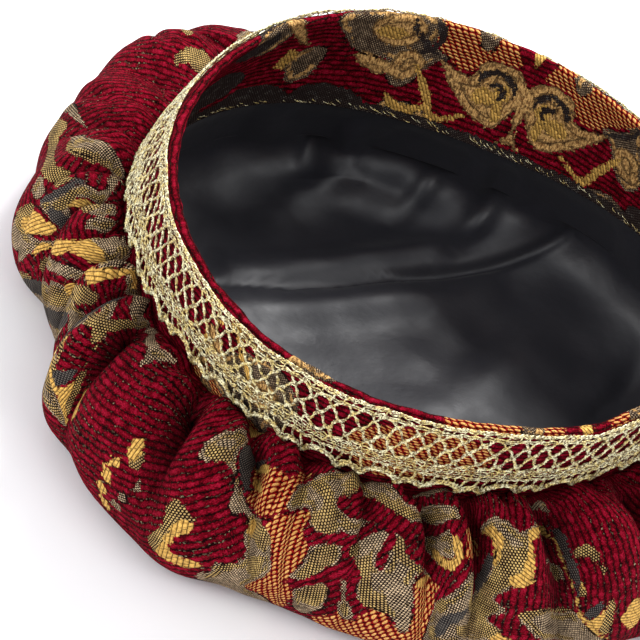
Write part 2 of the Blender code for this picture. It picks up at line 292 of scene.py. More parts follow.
class Graph:
    """Places and wires the nodes of one shader tree."""

    def __init__(self, tree: bpy.types.NodeTree) -> None:
        """Starts on a tree, which may already hold nodes."""
        self.tree = tree

    def node(self, kind: str, **settings: object) -> bpy.types.Node:
        """Adds a node of a kind with some of its settings.

        Args:
            kind: The node's type.
            settings: Its settings by name.

        Returns:
            The node.
        """
        made = self.tree.nodes.new(kind)
        for name, value in settings.items():
            setattr(made, name, value)
        return made

    def feed(self, made: bpy.types.Node, feeds: dict[int | str, Feed]) -> None:
        """Links a node's inputs to values, or sets them to constants."""
        for key, value in feeds.items():
            if isinstance(value, Value):
                self.tree.links.new(value.socket, made.inputs[key])
            else:
                made.inputs[key].default_value = value

    def wired(self, made: bpy.types.Node, feeds: dict[int | str, Feed], output: int | str = 0) -> Value:
        """One of a node's outputs, once its inputs are fed."""
        self.feed(made, feeds)
        return Value(self, made.outputs[output])

    def math(self, operation: str, *values: Feed, clamp: bool = False) -> Value:
        """One Math node."""
        made = self.node("ShaderNodeMath", operation=operation, use_clamp=clamp)
        return self.wired(made, dict(enumerate(values)))

    def scaled(self, vector: Feed, factor: Feed) -> Value:
        """A vector times a number."""
        made = self.node("ShaderNodeVectorMath", operation="SCALE")
        return self.wired(made, {0: vector, "Scale": factor})

    def step(self, value: Feed, low: Feed, high: Feed) -> Value:
        """0 below low, 1 above high and smooth between."""
        made = self.node("ShaderNodeMapRange", interpolation_type="SMOOTHSTEP")
        return self.wired(made, {"Value": value, "From Min": low, "From Max": high})

    def remap(self, value: Feed, low: float, high: float, to_low: float, to_high: float) -> Value:
        """A value moved from one range to another, and kept inside it.

        Args:
            value: What to move.
            low: The first range's start.
            high: Its end.
            to_low: The second range's start.
            to_high: Its end.

        Returns:
            The moved value.
        """
        made = self.node("ShaderNodeMapRange", clamp=True)
        ends = {"From Min": low, "From Max": high, "To Min": to_low, "To Max": to_high}
        return self.wired(made, {"Value": value, **ends})

    def mix(self, factor: Feed, first: Feed, second: Feed) -> Value:
        """A mix of two colours."""
        made = self.node("ShaderNodeMix", data_type="RGBA")
        return self.wired(made, {0: factor, 6: first, 7: second}, 2)

    def blend(self, factor: Feed, first: Feed, second: Feed) -> Value:
        """A mix of two numbers."""
        made = self.node("ShaderNodeMix", data_type="FLOAT")
        return self.wired(made, {0: factor, 2: first, 3: second})

    def noise(self, vector: Feed, scale: float, detail: float = 2.0, roughness: float = 0.5) -> Value:
        """A noise texture's value, about 0.5.

        Args:
            vector: Where.
            scale: Lumps for each unit of vector.
            detail: How many finer layers it has.
            roughness: How strong those are.

        Returns:
            The value, from 0 to 1.
        """
        made = self.node("ShaderNodeTexNoise")
        feeds = {"Vector": vector, "Scale": scale, "Detail": detail, "Roughness": roughness}
        return self.wired(made, feeds, "Fac")

    def stray(self, vector: Feed, scale: float, detail: float = 2.0, roughness: float = 0.5) -> Value:
        """A noise texture's value, about 0."""
        return self.noise(vector, scale, detail, roughness) - 0.5

    def join(self, x: Feed, y: Feed) -> Value:
        """A vector from its first two parts."""
        return self.wired(self.node("ShaderNodeCombineXYZ"), {0: x, 1: y})

    def split(self, vector: Feed) -> tuple[Value, ...]:
        """The three parts of a vector.

        Args:
            vector: The vector.

        Returns:
            Its x, y and z.
        """
        made = self.node("ShaderNodeSeparateXYZ")
        self.feed(made, {0: vector})
        return tuple(Value(self, output) for output in made.outputs)

    def chance(self, x: Feed, y: Feed) -> Value:
        """A random number from 0 to 1 for each pair of whole numbers."""
        made = self.node("ShaderNodeTexWhiteNoise", noise_dimensions="2D")
        return self.wired(made, {"Vector": self.join(x, y)}, "Value")

    def cell(self, value: Feed, size: float) -> Value:
        """Which cell of a size a place is in."""
        return self.math("FLOOR", self.math("DIVIDE", value, size))

    def yarn(self, value: Value, pitch: Feed) -> tuple[Value, Value, Value]:
        """Which yarn a place is on.

        Args:
            value: Distance across the yarns in mm.
            pitch: The yarns' spacing in mm.

        Returns:
            The yarn's number, the place across it from -0.5 to 0.5, and its rounded height 0 to 1.
        """
        turns = value / pitch
        number = self.math("FLOOR", turns)
        across = turns - number - 0.5
        dome = self.math("SQRT", self.math("SUBTRACT", 1.0, across * across * 4.0, clamp=True))
        return number, across, dome

    def read(self, name: str) -> Value:
        """A vector attribute of the piece."""
        return Value(self, self.node("ShaderNodeAttribute", attribute_name=name).outputs["Vector"])

    def cloth(self) -> Value:
        """The place on the piece's Cloth UV map in mm."""
        return self.scaled(Value(self, self.node("ShaderNodeUVMap", uv_map="Cloth").outputs[0]), 1 / MM)

    def solid_place(self) -> Value:
        """The place in the piece's own coordinates in metres."""
        return Value(self, self.node("ShaderNodeTexCoord").outputs["Object"])

    def bump(self, height: Feed, distance: float) -> Value:
        """The normal of a surface whose height is given in parts of a distance in metres."""
        return self.wired(self.node("ShaderNodeBump"), {"Distance": distance, "Height": height})

    def use(self, group: "ShaderGroup", **inputs: Feed) -> dict[str, Value]:
        """Places a node group and returns its outputs by name.

        Args:
            group: The group.
            inputs: What feeds its inputs, by their names in small letters.

        Returns:
            The outputs by name.
        """
        made = self.node("ShaderNodeGroup", node_tree=group.tree)
        self.feed(made, {name.capitalize(): value for name, value in inputs.items()})
        return {output.name: Value(self, output) for output in made.outputs}


class ShaderGroup(Graph):
    """A node group: an effect that more than one weave or material uses."""

    def __init__(self, name: str, inputs: dict[str, Feed], outputs: dict[str, str]) -> None:
        """Starts a group.

        Args:
            name: The group's name.
            inputs: Each input's name and default, a number or a vector of 3.
            outputs: Each output's name and kind, Float or Color.
        """
        super().__init__(bpy.data.node_groups.new(name, "ShaderNodeTree"))
        for label, default in inputs.items():
            kind = "NodeSocketFloat" if isinstance(default, float) else "NodeSocketVector"
            socket = self.tree.interface.new_socket(label, in_out="INPUT", socket_type=kind)
            socket.default_value = default
        for label, kind in outputs.items():
            self.tree.interface.new_socket(label, in_out="OUTPUT", socket_type=f"NodeSocket{kind}")
        start = self.node("NodeGroupInput")
        self.given = {label: Value(self, start.outputs[label]) for label in inputs}
        self.end = self.node("NodeGroupOutput")


def colour(red: int, green: int, blue: int) -> tuple[float, float, float, float]:
    """A colour as seen on a screen, 0 to 255, as the linear colour that a shader takes.

    Args:
        red: The red part.
        green: The green part.
        blue: The blue part.

    Returns:
        The linear red, green and blue, and 1 for alpha.
    """
    linear = []
    for value in (red, green, blue):
        share = value / 255
        linear.append(share / 12.92 if share <= 0.04045 else ((share + 0.055) / 1.055) ** 2.4)
    return (*linear, 1.0)


def new_material(name: str) -> tuple[bpy.types.Material, Graph, bpy.types.Node]:
    """A material with its graph and its Principled shader.

    Args:
        name: The material's name.

    Returns:
        The material, its graph and its shader.
    """
    material = bpy.data.materials.new(name)
    material.use_nodes = True
    return material, Graph(material.node_tree), material.node_tree.nodes["Principled BSDF"]


@dataclass(frozen=True)
class YarnSizes:
    """Sizes of the brocade's yarns in mm, the same on the crown and the band.

    Twill_lean is a ratio: how far the twill's columns slide along for each mm across.
    """

    rib: float = 2.3
    rib_wobble: float = 2.2
    rib_shag: float = 1.7
    glint_length: float = 0.5
    glint_width: float = 0.4
    check: float = 0.9
    twill: float = 0.82
    twill_lean: float = 0.5
    float_line: float = 4.2
    float_width: float = 1.3
    link_length: float = 2.4
    link_width: float = 1.5
    ragged_length: float = 0.9
    ragged_width: float = 1.07


@dataclass(frozen=True)
class BrocadeFinish:
    """The figured brocade: red chenille ribs, and scrolls in gold, grey and black yarns."""

    name: str
    # The deep red and the red rib highlight paint shade on the ribs' sides and light on their tops. The rib
    # gap colour is partly the dark ground and partly painted shade, and is also the painted shade in deep
    # folds.
    red: tuple = colour(138, 0, 24)
    deep_red_and_rib_shade: tuple = colour(46, 0, 5)
    red_rib_highlight: tuple = colour(206, 30, 66)
    rib_gap_shade: tuple = colour(18, 2, 2)
    glint: tuple = colour(226, 206, 164)
    gold: tuple = colour(252, 214, 136)
    tan: tuple = colour(214, 178, 118)
    grey: tuple = colour(252, 220, 178)
    ground: tuple = colour(20, 9, 8)
    dot_ground: tuple = colour(22, 11, 9)
    float_gold: tuple = colour(234, 188, 100)
    float_shade: tuple = colour(116, 72, 26)
    float_tie: tuple = colour(34, 26, 20)
    link: tuple = colour(246, 194, 116)
    link_dull: tuple = colour(208, 138, 66)
    link_worn: tuple = colour(150, 96, 50)
    orange_red: tuple = colour(164, 26, 22)
    black: tuple = colour(24, 23, 25)
    slate: tuple = colour(116, 108, 100)
    soot: tuple = colour(38, 29, 27)
    sewn_light: tuple = colour(232, 184, 116)
    sewn_mid: tuple = colour(120, 82, 46)
    sewn_dark: tuple = colour(58, 38, 26)
    sewn_line: tuple = colour(52, 34, 24)
    worn: tuple = colour(54, 40, 32)
    yarns: YarnSizes = field(default_factory=YarnSizes)
    stitched: float = 0.0
    relief: float = 1.3 * MM

    def build(self, groups: "BrocadeGroups") -> bpy.types.Material:
        """The material, on a piece with a Cloth UV map and its motif in three attributes.

        Args:
            groups: The weaves' node groups.

        Returns:
            The material.
        """
        material, graph, shader = new_material(self.name)
        weave = graph.use(
            groups.brocade,
            place=graph.cloth(),
            flat=graph.read("flat"),
            motif=graph.read("motif"),
            accent=graph.read("accent"),
            ground=self.dot_ground[:3],
            stitched=self.stitched,
        )
        graph.feed(shader, {
            "Base Color": weave["Color"],
            "Roughness": weave["Roughness"],
            "Metallic": weave["Metallic"],
            "Normal": graph.bump(weave["Height"], self.relief),
            "Sheen Weight": 0.01,
            "Sheen Roughness": 0.45,
            "Sheen Tint": (0.9, 0.4, 0.45, 1),
            "Specular IOR Level": 0.03,
        })
        return material


class BrocadeGroups:
    """The node groups of the brocade's weaves, built once and used by every brocade piece."""

    def __init__(self, finish: BrocadeFinish) -> None:
        """Builds the groups in a finish's colours and yarns.

        Args:
            finish: The finish.
        """
        self.finish = finish
        self.ribs = self.make_ribs()
        self.check = self.make_check()
        self.links = self.make_links()
        self.floats = self.make_floats()
        self.brocade = self.make_brocade()

    def make_ribs(self) -> ShaderGroup:
        """Red chenille ribs with painted highlights on their tops and painted shade on their sides, dark
        gaps that are partly painted shade, and metal glints between them. Plain takes the glints out.

        Returns:
            The group, with its colour, height and share of metal.
        """
        finish, yarns = self.finish, self.finish.yarns
        graph = ShaderGroup("Chenille Ribs", {"Place": (0, 0, 0), "Plain": 0.0},
                            {"Color": "Color", "Height": "Float", "Glint": "Float"})
        place = graph.given["Place"]
        along, across, _ = graph.split(place)
        wobble = graph.stray(place, 0.16) * yarns.rib_wobble
        shag = graph.stray(place, 0.9, 3.0, 0.7) * yarns.rib_shag
        number, _, dome = graph.yarn(wobble + shag + across, yarns.rib)
        lump = graph.stray(graph.join(along * 0.35, number * 7.3), 1.0, 2.0, 0.6)
        fuzz = graph.stray(place, 1.9, 3.0, 0.7)
        pile = fuzz * 2.0 + lump * 1.5 + dome
        # Painted light: each rib's rounded top is painted lighter and its sides darker, with noise for
        # uneven pile.
        red = graph.mix(graph.step(pile, 0.35, 1.15), finish.deep_red_and_rib_shade, finish.red)
        red = graph.mix(graph.step(pile, 0.8, 1.5), red, finish.red_rib_highlight)
        gap_edge = 0.82 - graph.remap(graph.noise(place, 0.05), 0.38, 0.64, 0.0, 0.5)
        in_gap = 1.0 - graph.step(pile, gap_edge - 0.35, gap_edge)
        luck = graph.chance(graph.cell(along, yarns.glint_length), graph.cell(across, yarns.glint_width))
        bare = graph.remap(graph.noise(place, 0.075), 0.42, 0.6, 0.3, 1.0)
        glint = graph.step(luck, 0.78, 0.96) * in_gap * (1.0 - graph.given["Plain"]) * bare
        # The gaps between ribs are dark: partly the dark ground weave, partly painted shade.
        shown = graph.mix(in_gap * 0.92, red, finish.rib_gap_shade)
        shown = graph.mix(glint * 0.66, shown, finish.glint)
        height = graph.math("MINIMUM", pile, 1.7) * 0.9
        graph.feed(graph.end, {"Color": shown, "Height": height, "Glint": glint})
        return graph

    def make_check(self) -> ShaderGroup:
        """Bright dots of metal yarn on a dark ground, as a fine plain weave shows them.

        Returns:
            The group, with its dots, height and a random number for each dot.
        """
        graph = ShaderGroup("Dotted Weave", {"Place": (0, 0, 0), "Pitch": 0.92, "Lean": 0.0},
                            {"Dot": "Float", "Height": "Float", "Luck": "Float"})
        place, pitch = graph.given["Place"], graph.given["Pitch"]
        along, across, _ = graph.split(place)
        column, x, _ = graph.yarn(across * graph.given["Lean"] + along, pitch)
        half_step = graph.math("FLOORED_MODULO", column, 2.0) * 0.5
        row, y, _ = graph.yarn(half_step * pitch + across, pitch)
        reach = graph.math("SQRT", x * x + y * y)
        bigger = graph.remap(graph.noise(place, 0.16, 3.0), 0.35, 0.65, -0.08, 0.03)
        graph.feed(graph.end, {
            "Dot": 1.0 - graph.step(reach - bigger, 0.24, 0.46),
            "Height": graph.math("SUBTRACT", 0.5, reach, clamp=True) * 0.7,
            "Luck": graph.chance(column, row),
        })
        return graph

    def make_links(self) -> ShaderGroup:
        """Gold links over red: slanting rows of gold loops with red dashes between.

        Returns:
            The group, with its colour, height and share of metal.
        """
        finish, yarns = self.finish, self.finish.yarns
        graph = ShaderGroup("Linked Weave", {"Place": (0, 0, 0)},
                            {"Color": "Color", "Height": "Float", "Gold": "Float"})
        place = graph.given["Place"]
        along, across, _ = graph.split(place)
        row, y, dome = graph.yarn(graph.stray(place, 0.3) * 1.2 + across, yarns.link_width)
        link, x, _ = graph.yarn(row * (0.38 * yarns.link_length) + (y * 0.7 + along), yarns.link_length)
        luck = graph.chance(link, row)
        wide = x * (luck * 0.5 + 2.2)
        tall = (x * 0.35 + y) * 2.7
        reach = graph.math("SQRT", wide * wide + tall * tall)
        gold = 1.0 - graph.step(reach, 0.72, 0.98)
        rough = graph.noise(place, 2.6)
        tone = graph.mix(luck * 0.6, finish.link, finish.link_dull)
        tone = graph.mix(graph.step(rough, 0.5, 0.7), tone, finish.link_worn)
        red = graph.mix(graph.step(rough, 0.35, 0.7), finish.orange_red, finish.deep_red_and_rib_shade)
        # Between the loops the red goes dark: partly the dark ground, partly painted shade.
        red = graph.mix(graph.step(reach, 1.2, 1.6), red, finish.rib_gap_shade)
        bead = graph.math("SUBTRACT", 1.1, reach, clamp=True) * 0.45
        shown = graph.mix(gold, red, tone)
        graph.feed(graph.end, {"Color": shown, "Height": dome * 0.2 + bead, "Gold": gold})
        return graph

    def make_floats(self) -> ShaderGroup:
        """Long bright gold yarns lying side by side, with dark lines between and short dark ties.

        Returns:
            The group, with its colour, height and share of metal.
        """
        finish, yarns = self.finish, self.finish.yarns
        graph = ShaderGroup("Gold Floats", {"Place": (0, 0, 0)},
                            {"Color": "Color", "Height": "Float", "Gold": "Float"})
        place = graph.given["Place"]
        along, across, _ = graph.split(place)
        row, _, strand = graph.yarn(across * 0.5 + along, yarns.float_width)
        luck = graph.chance(row, 3.0)
        _, _, tie = graph.yarn(row * 0.7 + across + luck * 0.5, yarns.float_line)
        seam = (1.0 - graph.step(strand, 0.3, 0.7)) * 0.85
        tied = (1.0 - graph.step(tie, 0.2, 0.42)) * 0.7
        tied = graph.math("MAXIMUM", tied, seam)
        uneven = graph.step(graph.noise(place, 1.1), 0.35, 0.65) * 0.55
        gold = graph.mix(strand * 0.5 + uneven, finish.float_shade, finish.float_gold)
        graph.feed(graph.end, {
            "Color": graph.mix(tied, gold, finish.float_tie),
            "Height": strand * 0.3 + tie * 0.4,
            "Gold": 1.0 - tied,
        })
        return graph

    def make_brocade(self) -> ShaderGroup:
        """All the weaves, laid over each other by their distances in mm: inside is positive.

        Motif holds the linked ground, the twill and the dotted gold. Accent holds the gold floats,
        the black and the red ribs that lie over the rest. Flat holds the place on the flat cloth in
        mm, and how deep the cloth is folded in, from 0 to 1, which sets the painted shade in the folds.
        Ground is the colour behind the dots. Stitched turns the dots to embroidery.

        Returns:
            The group, with what the Principled shader takes.
        """
        finish, yarns = self.finish, self.finish.yarns
        graph = ShaderGroup(
            "Figured Brocade",
            {"Place": (0, 0, 0), "Flat": (0, 0, 0), "Motif": (-9, -9, -9), "Accent": (-9, -9, -9),
             "Ground": finish.ground[:3], "Stitched": 0.0},
            {"Color": "Color", "Roughness": "Float", "Metallic": "Float", "Height": "Float"})
        place, flat = graph.given["Place"], graph.given["Flat"]
        ground, stitched = graph.given["Ground"], graph.given["Stitched"]
        along, across, _ = graph.split(place)
        _, _, hidden = graph.split(flat)
        linked, twilled, dotted = graph.split(graph.given["Motif"])
        floated, black, barred = graph.split(graph.given["Accent"])
        step_along = graph.cell(along, yarns.ragged_length)
        step_across = graph.cell(across, yarns.ragged_width)
        luck = graph.chance(step_along, step_across) - 0.5
        fray = graph.stray(place, 0.7, 3.0, 0.65) * 3.2
        ragged = luck * 0.8 + graph.stray(place, 0.35) * 1.4 + fray * stitched

        ribs = graph.use(self.ribs, place=place, plain=stitched)
        check = graph.use(self.check, place=flat, pitch=yarns.check)
        twill = graph.use(self.check, place=flat, pitch=yarns.twill, lean=yarns.twill_lean)
        links = graph.use(self.links, place=place)
        floats = graph.use(self.floats, place=place)

        clumps = graph.noise(place, 0.42, 3.0, 0.6)
        stitches = graph.noise(graph.join(along * 1.5, across * 0.5), 1.0, 2.0, 0.6)
        sewn = graph.mix(graph.step(stitches, 0.36, 0.62), finish.sewn_mid, finish.sewn_light)
        sewn = graph.mix(graph.step(clumps, 0.52, 0.64) * 0.8, sewn, finish.sewn_dark)
        contour = graph.math("FLOORED_MODULO", clumps * 3.0 + dotted, 3.4)
        in_line = 1.0 - graph.step(abs(contour - 1.7), 0.25, 0.6)
        sewn = graph.mix(in_line * 0.8, sewn, finish.sewn_line)
        tone = graph.mix(graph.step(graph.noise(place, 0.13), 0.35, 0.62), finish.tan, finish.gold)
        tone = graph.mix(check["Luck"] * 0.3, tone, ground)
        check_colour = graph.mix(stitched, graph.mix(check["Dot"], ground, tone), sewn)
        check_height = graph.blend(stitched, check["Height"], stitches * 0.8)
        twill_tone = graph.mix(twill["Luck"] * 0.5, finish.grey, finish.ground)
        twill_colour = graph.mix(twill["Dot"], finish.ground, twill_tone)
        worn = stitched * graph.remap(clumps, 0.35, 0.6, 0.25, 0.9)
        twill_colour = graph.mix(worn, twill_colour, finish.worn)
        dark_colour = graph.mix(twill["Dot"], finish.black, finish.slate)
        dark_colour = graph.mix(stitched * graph.step(clumps, 0.68, 0.5), dark_colour, finish.soot)

        where = graph.noise(place, 0.085)
        from_line = abs(twilled - 1.9)
        rimmed = (where - 0.5) * 12.0 + (0.5 - from_line)
        rimmed = graph.math("MINIMUM", rimmed, 0.8 - from_line)
        edged = graph.math("MINIMUM", 0.2 - abs(twilled + 0.1), (0.43 - where) * 12.0)
        shown, height, metal = ribs["Color"], ribs["Height"], ribs["Glint"]
        dots = (check_colour, check_height, check["Dot"] * 0.3)
        layers = (
            (linked, links["Color"], links["Height"], links["Gold"] * 0.4),
            (twilled, twill_colour, twill["Height"], 0.12),
            (rimmed, *dots),
            (dotted, *dots),
            (floated, floats["Color"], floats["Height"], floats["Gold"] * 0.55),
            (edged, finish.ground, 0.05, 0.0),
            (black, dark_colour, twill["Height"], 0.0),
            (barred, ribs["Color"], ribs["Height"], ribs["Glint"]),
        )
        for distance, layer_colour, layer_height, layer_metal in layers:
            inside = graph.step(distance + ragged, -0.18, 0.18)
            shown = graph.mix(inside, shown, layer_colour)
            height = graph.blend(inside, height, layer_height)
            metal = graph.blend(inside, metal, layer_metal)
        # Painted shade: cloth deep in a fold is darkened towards the dark colour of the rib gaps.
        graph.feed(graph.end, {
            "Color": graph.mix(hidden * 0.72, shown, finish.rib_gap_shade),
            "Height": height,
            "Metallic": metal * 0.8,
            "Roughness": graph.blend(metal, 0.86, 0.42),
        })
        return graph


@dataclass(frozen=True)
class SatinFinish:
    """The lining's black satin."""

    name: str = "Black Satin"
    black: tuple = colour(28, 28, 34)
    thread: tuple = colour(46, 46, 55)
    roughness: float = 0.46
    relief: float = MM

    def build(self) -> bpy.types.Material:
        """The material, on a piece with a Cloth UV map.

        Returns:
            The material.
        """
        material, graph, shader = new_material(self.name)
        place = graph.cloth()
        along, across, _ = graph.split(place)
        threads = graph.noise(graph.join(along * 0.25, across * 5.0), 1.0)
        creases = graph.noise(place, 0.09, 4.0, 0.55)
        rough = graph.remap(creases, 0.3, 0.7, self.roughness - 0.06, self.roughness + 0.09)
        graph.feed(shader, {
            "Base Color": graph.mix(graph.step(threads, 0.45, 0.8) * 0.5, self.black, self.thread),
            "Roughness": rough,
            "Normal": graph.bump(creases * 0.3 + threads * 0.03, self.relief),
            "Specular IOR Level": 0.45,
            "Sheen Weight": 0.05,
        })
        return material


@dataclass(frozen=True)
class MetalThreadFinish:
    """The lace's pale gold thread: foil wound on a core, with bright facets."""

    name: str = "Gold Thread"
    pale: tuple = colour(255, 250, 206)
    gold: tuple = colour(236, 212, 130)
    shade: tuple = colour(112, 88, 40)
    metallic: float = 0.4
    relief: float = 0.35 * MM

    def build(self) -> bpy.types.Material:
        """The material, on Object coordinates.

        Returns:
            The material.
        """
        material, graph, shader = new_material(self.name)
        place = graph.solid_place()
        facets = graph.noise(place, 1100.0, 2.0, 0.7)
        strands = graph.noise(place, 380.0, 3.0, 0.6)
        base = graph.mix(graph.step(strands, 0.4, 0.58), self.gold, self.pale)
        graph.feed(shader, {
            "Base Color": graph.mix(graph.step(facets, 0.56, 0.4), base, self.shade),
            "Metallic": self.metallic,
            "Specular IOR Level": 0.9,
            "Coat Weight": 0.5,
            "Coat Roughness": 0.25,
            "Roughness": graph.remap(facets, 0.3, 0.7, 0.5, 0.22),
            "Normal": graph.bump(facets + strands, self.relief),
        })
        return material


def clear_selection() -> None:
    """Deselects everything, so that an operator acts on what is picked next alone."""
    if bpy.context.object is not None and bpy.context.object.mode != "OBJECT":
        bpy.ops.object.mode_set(mode="OBJECT")
    bpy.ops.object.select_all(action="DESELECT")


def weld(thing: bpy.types.Object, distance: float = 1e-6) -> None:
    """Merges a mesh's points that lie together, such as the two sides of a closing seam.

    Args:
        thing: The piece.
        distance: How near points are merged, in metres.
    """
    clear_selection()
    bpy.context.view_layer.objects.active = thing
    thing.select_set(True)
    bpy.ops.object.mode_set(mode="EDIT")
    bpy.ops.mesh.select_all(action="SELECT")
    bpy.ops.mesh.remove_doubles(threshold=distance)
    bpy.ops.object.mode_set(mode="OBJECT")


def lay_sheet(
    name: str, points: Array, cloth: Array, fields: dict[str, Array] | None = None
) -> bpy.types.Object:
    """A sheet of cloth: a grid primitive laid through rows of points.

    Args:
        name: The piece's name.
        points: Rows by columns by 3, in metres. A closed sheet repeats its first column at the end.
        cloth: Rows by columns by 2, each point's place on the flat cloth in metres.
        fields: Other values by name, rows by columns by 3, kept as attributes on the corners.

    Returns:
        The sheet, welded and smooth.
    """
    rows, columns = points.shape[:2]
    clear_selection()
    bpy.ops.mesh.primitive_grid_add(x_subdivisions=columns - 1, y_subdivisions=rows - 1, size=1)
    sheet = bpy.context.object
    sheet.name = name
    mesh = sheet.data
    mesh.name = name
    mesh.vertices.foreach_set("co", points.reshape(-1))
    corner = np.empty(len(mesh.loops), np.int64)
    mesh.loops.foreach_get("vertex_index", corner)
    mesh.uv_layers[0].name = "Cloth"
    mesh.uv_layers[0].data.foreach_set("uv", cloth.reshape(-1, 2)[corner].reshape(-1))
    for label, values in (fields or {}).items():
        layer = mesh.attributes.new(label, "FLOAT_VECTOR", "CORNER")
        layer.data.foreach_set("vector", values.reshape(-1, 3)[corner].reshape(-1))
    mesh.update()
    weld(sheet)
    bpy.ops.object.shade_smooth()
    return sheet


def draw_tubes(name: str, threads: Sequence[tuple[Array, Array]], thickness: float) -> bpy.types.Object:
    """Threads as round tubes in one piece.

    Args:
        name: The piece's name.
        threads: Each thread's points by 3 in metres, and its radius at each in parts of thickness.
        thickness: The radius in metres of a thread where that part is 1.

    Returns:
        The tubes.
    """
    clear_selection()
    bpy.ops.curve.primitive_nurbs_path_add()
    curve = bpy.context.object.data
    curve.splines.clear()
    for points, radii in threads:
        spline = curve.splines.new("POLY")
        spline.points.add(len(points) - 1)
        places = np.concatenate([points, np.ones((len(points), 1))], axis=1)
        spline.points.foreach_set("co", places.reshape(-1))
        spline.points.foreach_set("radius", radii)
    curve.dimensions = "3D"
    curve.bevel_depth = thickness
    curve.bevel_resolution = 0
    curve.use_fill_caps = True
    bpy.ops.object.convert(target="MESH")
    tubes = bpy.context.object
    tubes.name = name
    return tubes


def place_piece(piece: bpy.types.Object, material: bpy.types.Material) -> bpy.types.Object:
    """Gives a piece its material, and lets it ride on the bonnet.

    Args:
        piece: The piece.
        material: Its material.

    Returns:
        The same piece.
    """
    piece.data.materials.clear()
    piece.data.materials.append(material)
    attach(piece, BODY)
    log.info("%s: %d faces", piece.name, len(piece.data.polygons))
    return piece


class Weave(Enum):
    """The brocade's weaves, in the order in which each lies over the ones before."""

    LINKS = 0
    TWILL = 1
    DOTS = 2
    FLOATS = 3
    BLACK = 4
    BARS = 5


@dataclass(frozen=True)
class Figure:
    """One area of a weave: a smooth outline through a few points of the flat cloth, in mm."""

    weave: Weave
    outline: tuple

    def moved(self, dx: float = 0.0, dy: float = 0.0, mirror_at: float | None = None) -> "Figure":
        """The figure shifted, and first mirrored left to right about mirror_at if that is given.

        Args:
            dx: The shift along x in mm.
            dy: The shift along y in mm.
            mirror_at: The x to mirror about in mm, or None.

        Returns:
            A new figure.
        """
        points = self.outline
        if mirror_at is not None:
            points = tuple((2 * mirror_at - x, y) for x, y in reversed(points))
        return Figure(self.weave, tuple((x + dx, y + dy) for x, y in points))

    def turned(self, degrees: float) -> "Figure":
        """The figure turned about the middle of the cloth."""
        c, s = math.cos(math.radians(degrees)), math.sin(math.radians(degrees))
        return Figure(self.weave, tuple((x * c - y * s, x * s + y * c) for x, y in self.outline))

    def ring(self, steps: int = 5) -> Array:
        """Points along the outline, closed, as a Catmull-Rom curve.

        Args:
            steps: How many points stand for each one of the outline.

        Returns:
            The points, by 2, in mm.
        """
        knots = np.array(self.outline, float)
        before, after, beyond = np.roll(knots, 1, 0), np.roll(knots, -1, 0), np.roll(knots, -2, 0)
        t = (np.arange(steps) / steps)[None, :, None]
        p0, p1, p2, p3 = before[:, None], knots[:, None], after[:, None], beyond[:, None]
        ring = 0.5 * (2 * p1 + (p2 - p0) * t + (2 * p0 - 5 * p1 + 4 * p2 - p3) * t**2
                      + (3 * p1 - p0 - 3 * p2 + p3) * t**3)
        return ring.reshape(-1, 2)

    def distance(self, place: Array) -> Array:
        """How deep each place lies inside the outline in mm, negative outside.

        Args:
            place: Places by 2, in mm.

        Returns:
            The depth of each in mm.
        """
        start = self.ring()
        end = np.roll(start, -1, 0)
        way = end - start
        offset = place[:, None] - start[None]
        share = np.clip((offset * way).sum(-1) / np.maximum((way**2).sum(-1), 1e-9), 0, 1)
        away = np.linalg.norm(offset - share[..., None] * way, axis=-1).min(axis=1)
        spans = (start[None, :, 1] > place[:, None, 1]) != (end[None, :, 1] > place[:, None, 1])
        rise = np.where(way[:, 1] == 0, 1e-9, way[:, 1])
        crossing = start[:, 0] + (place[:, None, 1] - start[:, 1]) * way[:, 0] / rise
        inside = (spans & (place[:, None, 0] < crossing)).sum(axis=1) % 2 == 1
        return np.where(inside, away, -away)


def motif_fields(place: Array, figures: Sequence[Figure], margin: float = 4.0) -> dict[str, Array]:
    """The brocade's motif at places on the flat cloth.

    Args:
        place: Any shape by 2, in mm.
        figures: The areas of the weaves.
        margin: Distance outside a figure in mm up to which it is worked out.

    Returns:
        Three attributes of that shape by 3. Motif and accent hold a distance in mm for each weave.
        Flat holds the place, and 0 for how deep the cloth is folded in, which sets painted shade.
    """
    flat = place.reshape(-1, 2)
    depths = np.full((len(flat), len(Weave)), -margin)
    for figure in figures:
        points = np.array(figure.outline)
        low, high = points.min(axis=0) - margin, points.max(axis=0) + margin
        near = np.nonzero(((flat > low) & (flat < high)).all(axis=1))[0]
        if len(near):
            column = figure.weave.value
            depths[near, column] = np.maximum(depths[near, column], figure.distance(flat[near]))
    shape = (*place.shape[:-1], 3)
    level = np.concatenate([flat, np.zeros((len(flat), 1))], axis=1)
    return {"motif": depths[:, :3].reshape(shape), "accent": depths[:, 3:].reshape(shape),
            "flat": level.reshape(shape)}


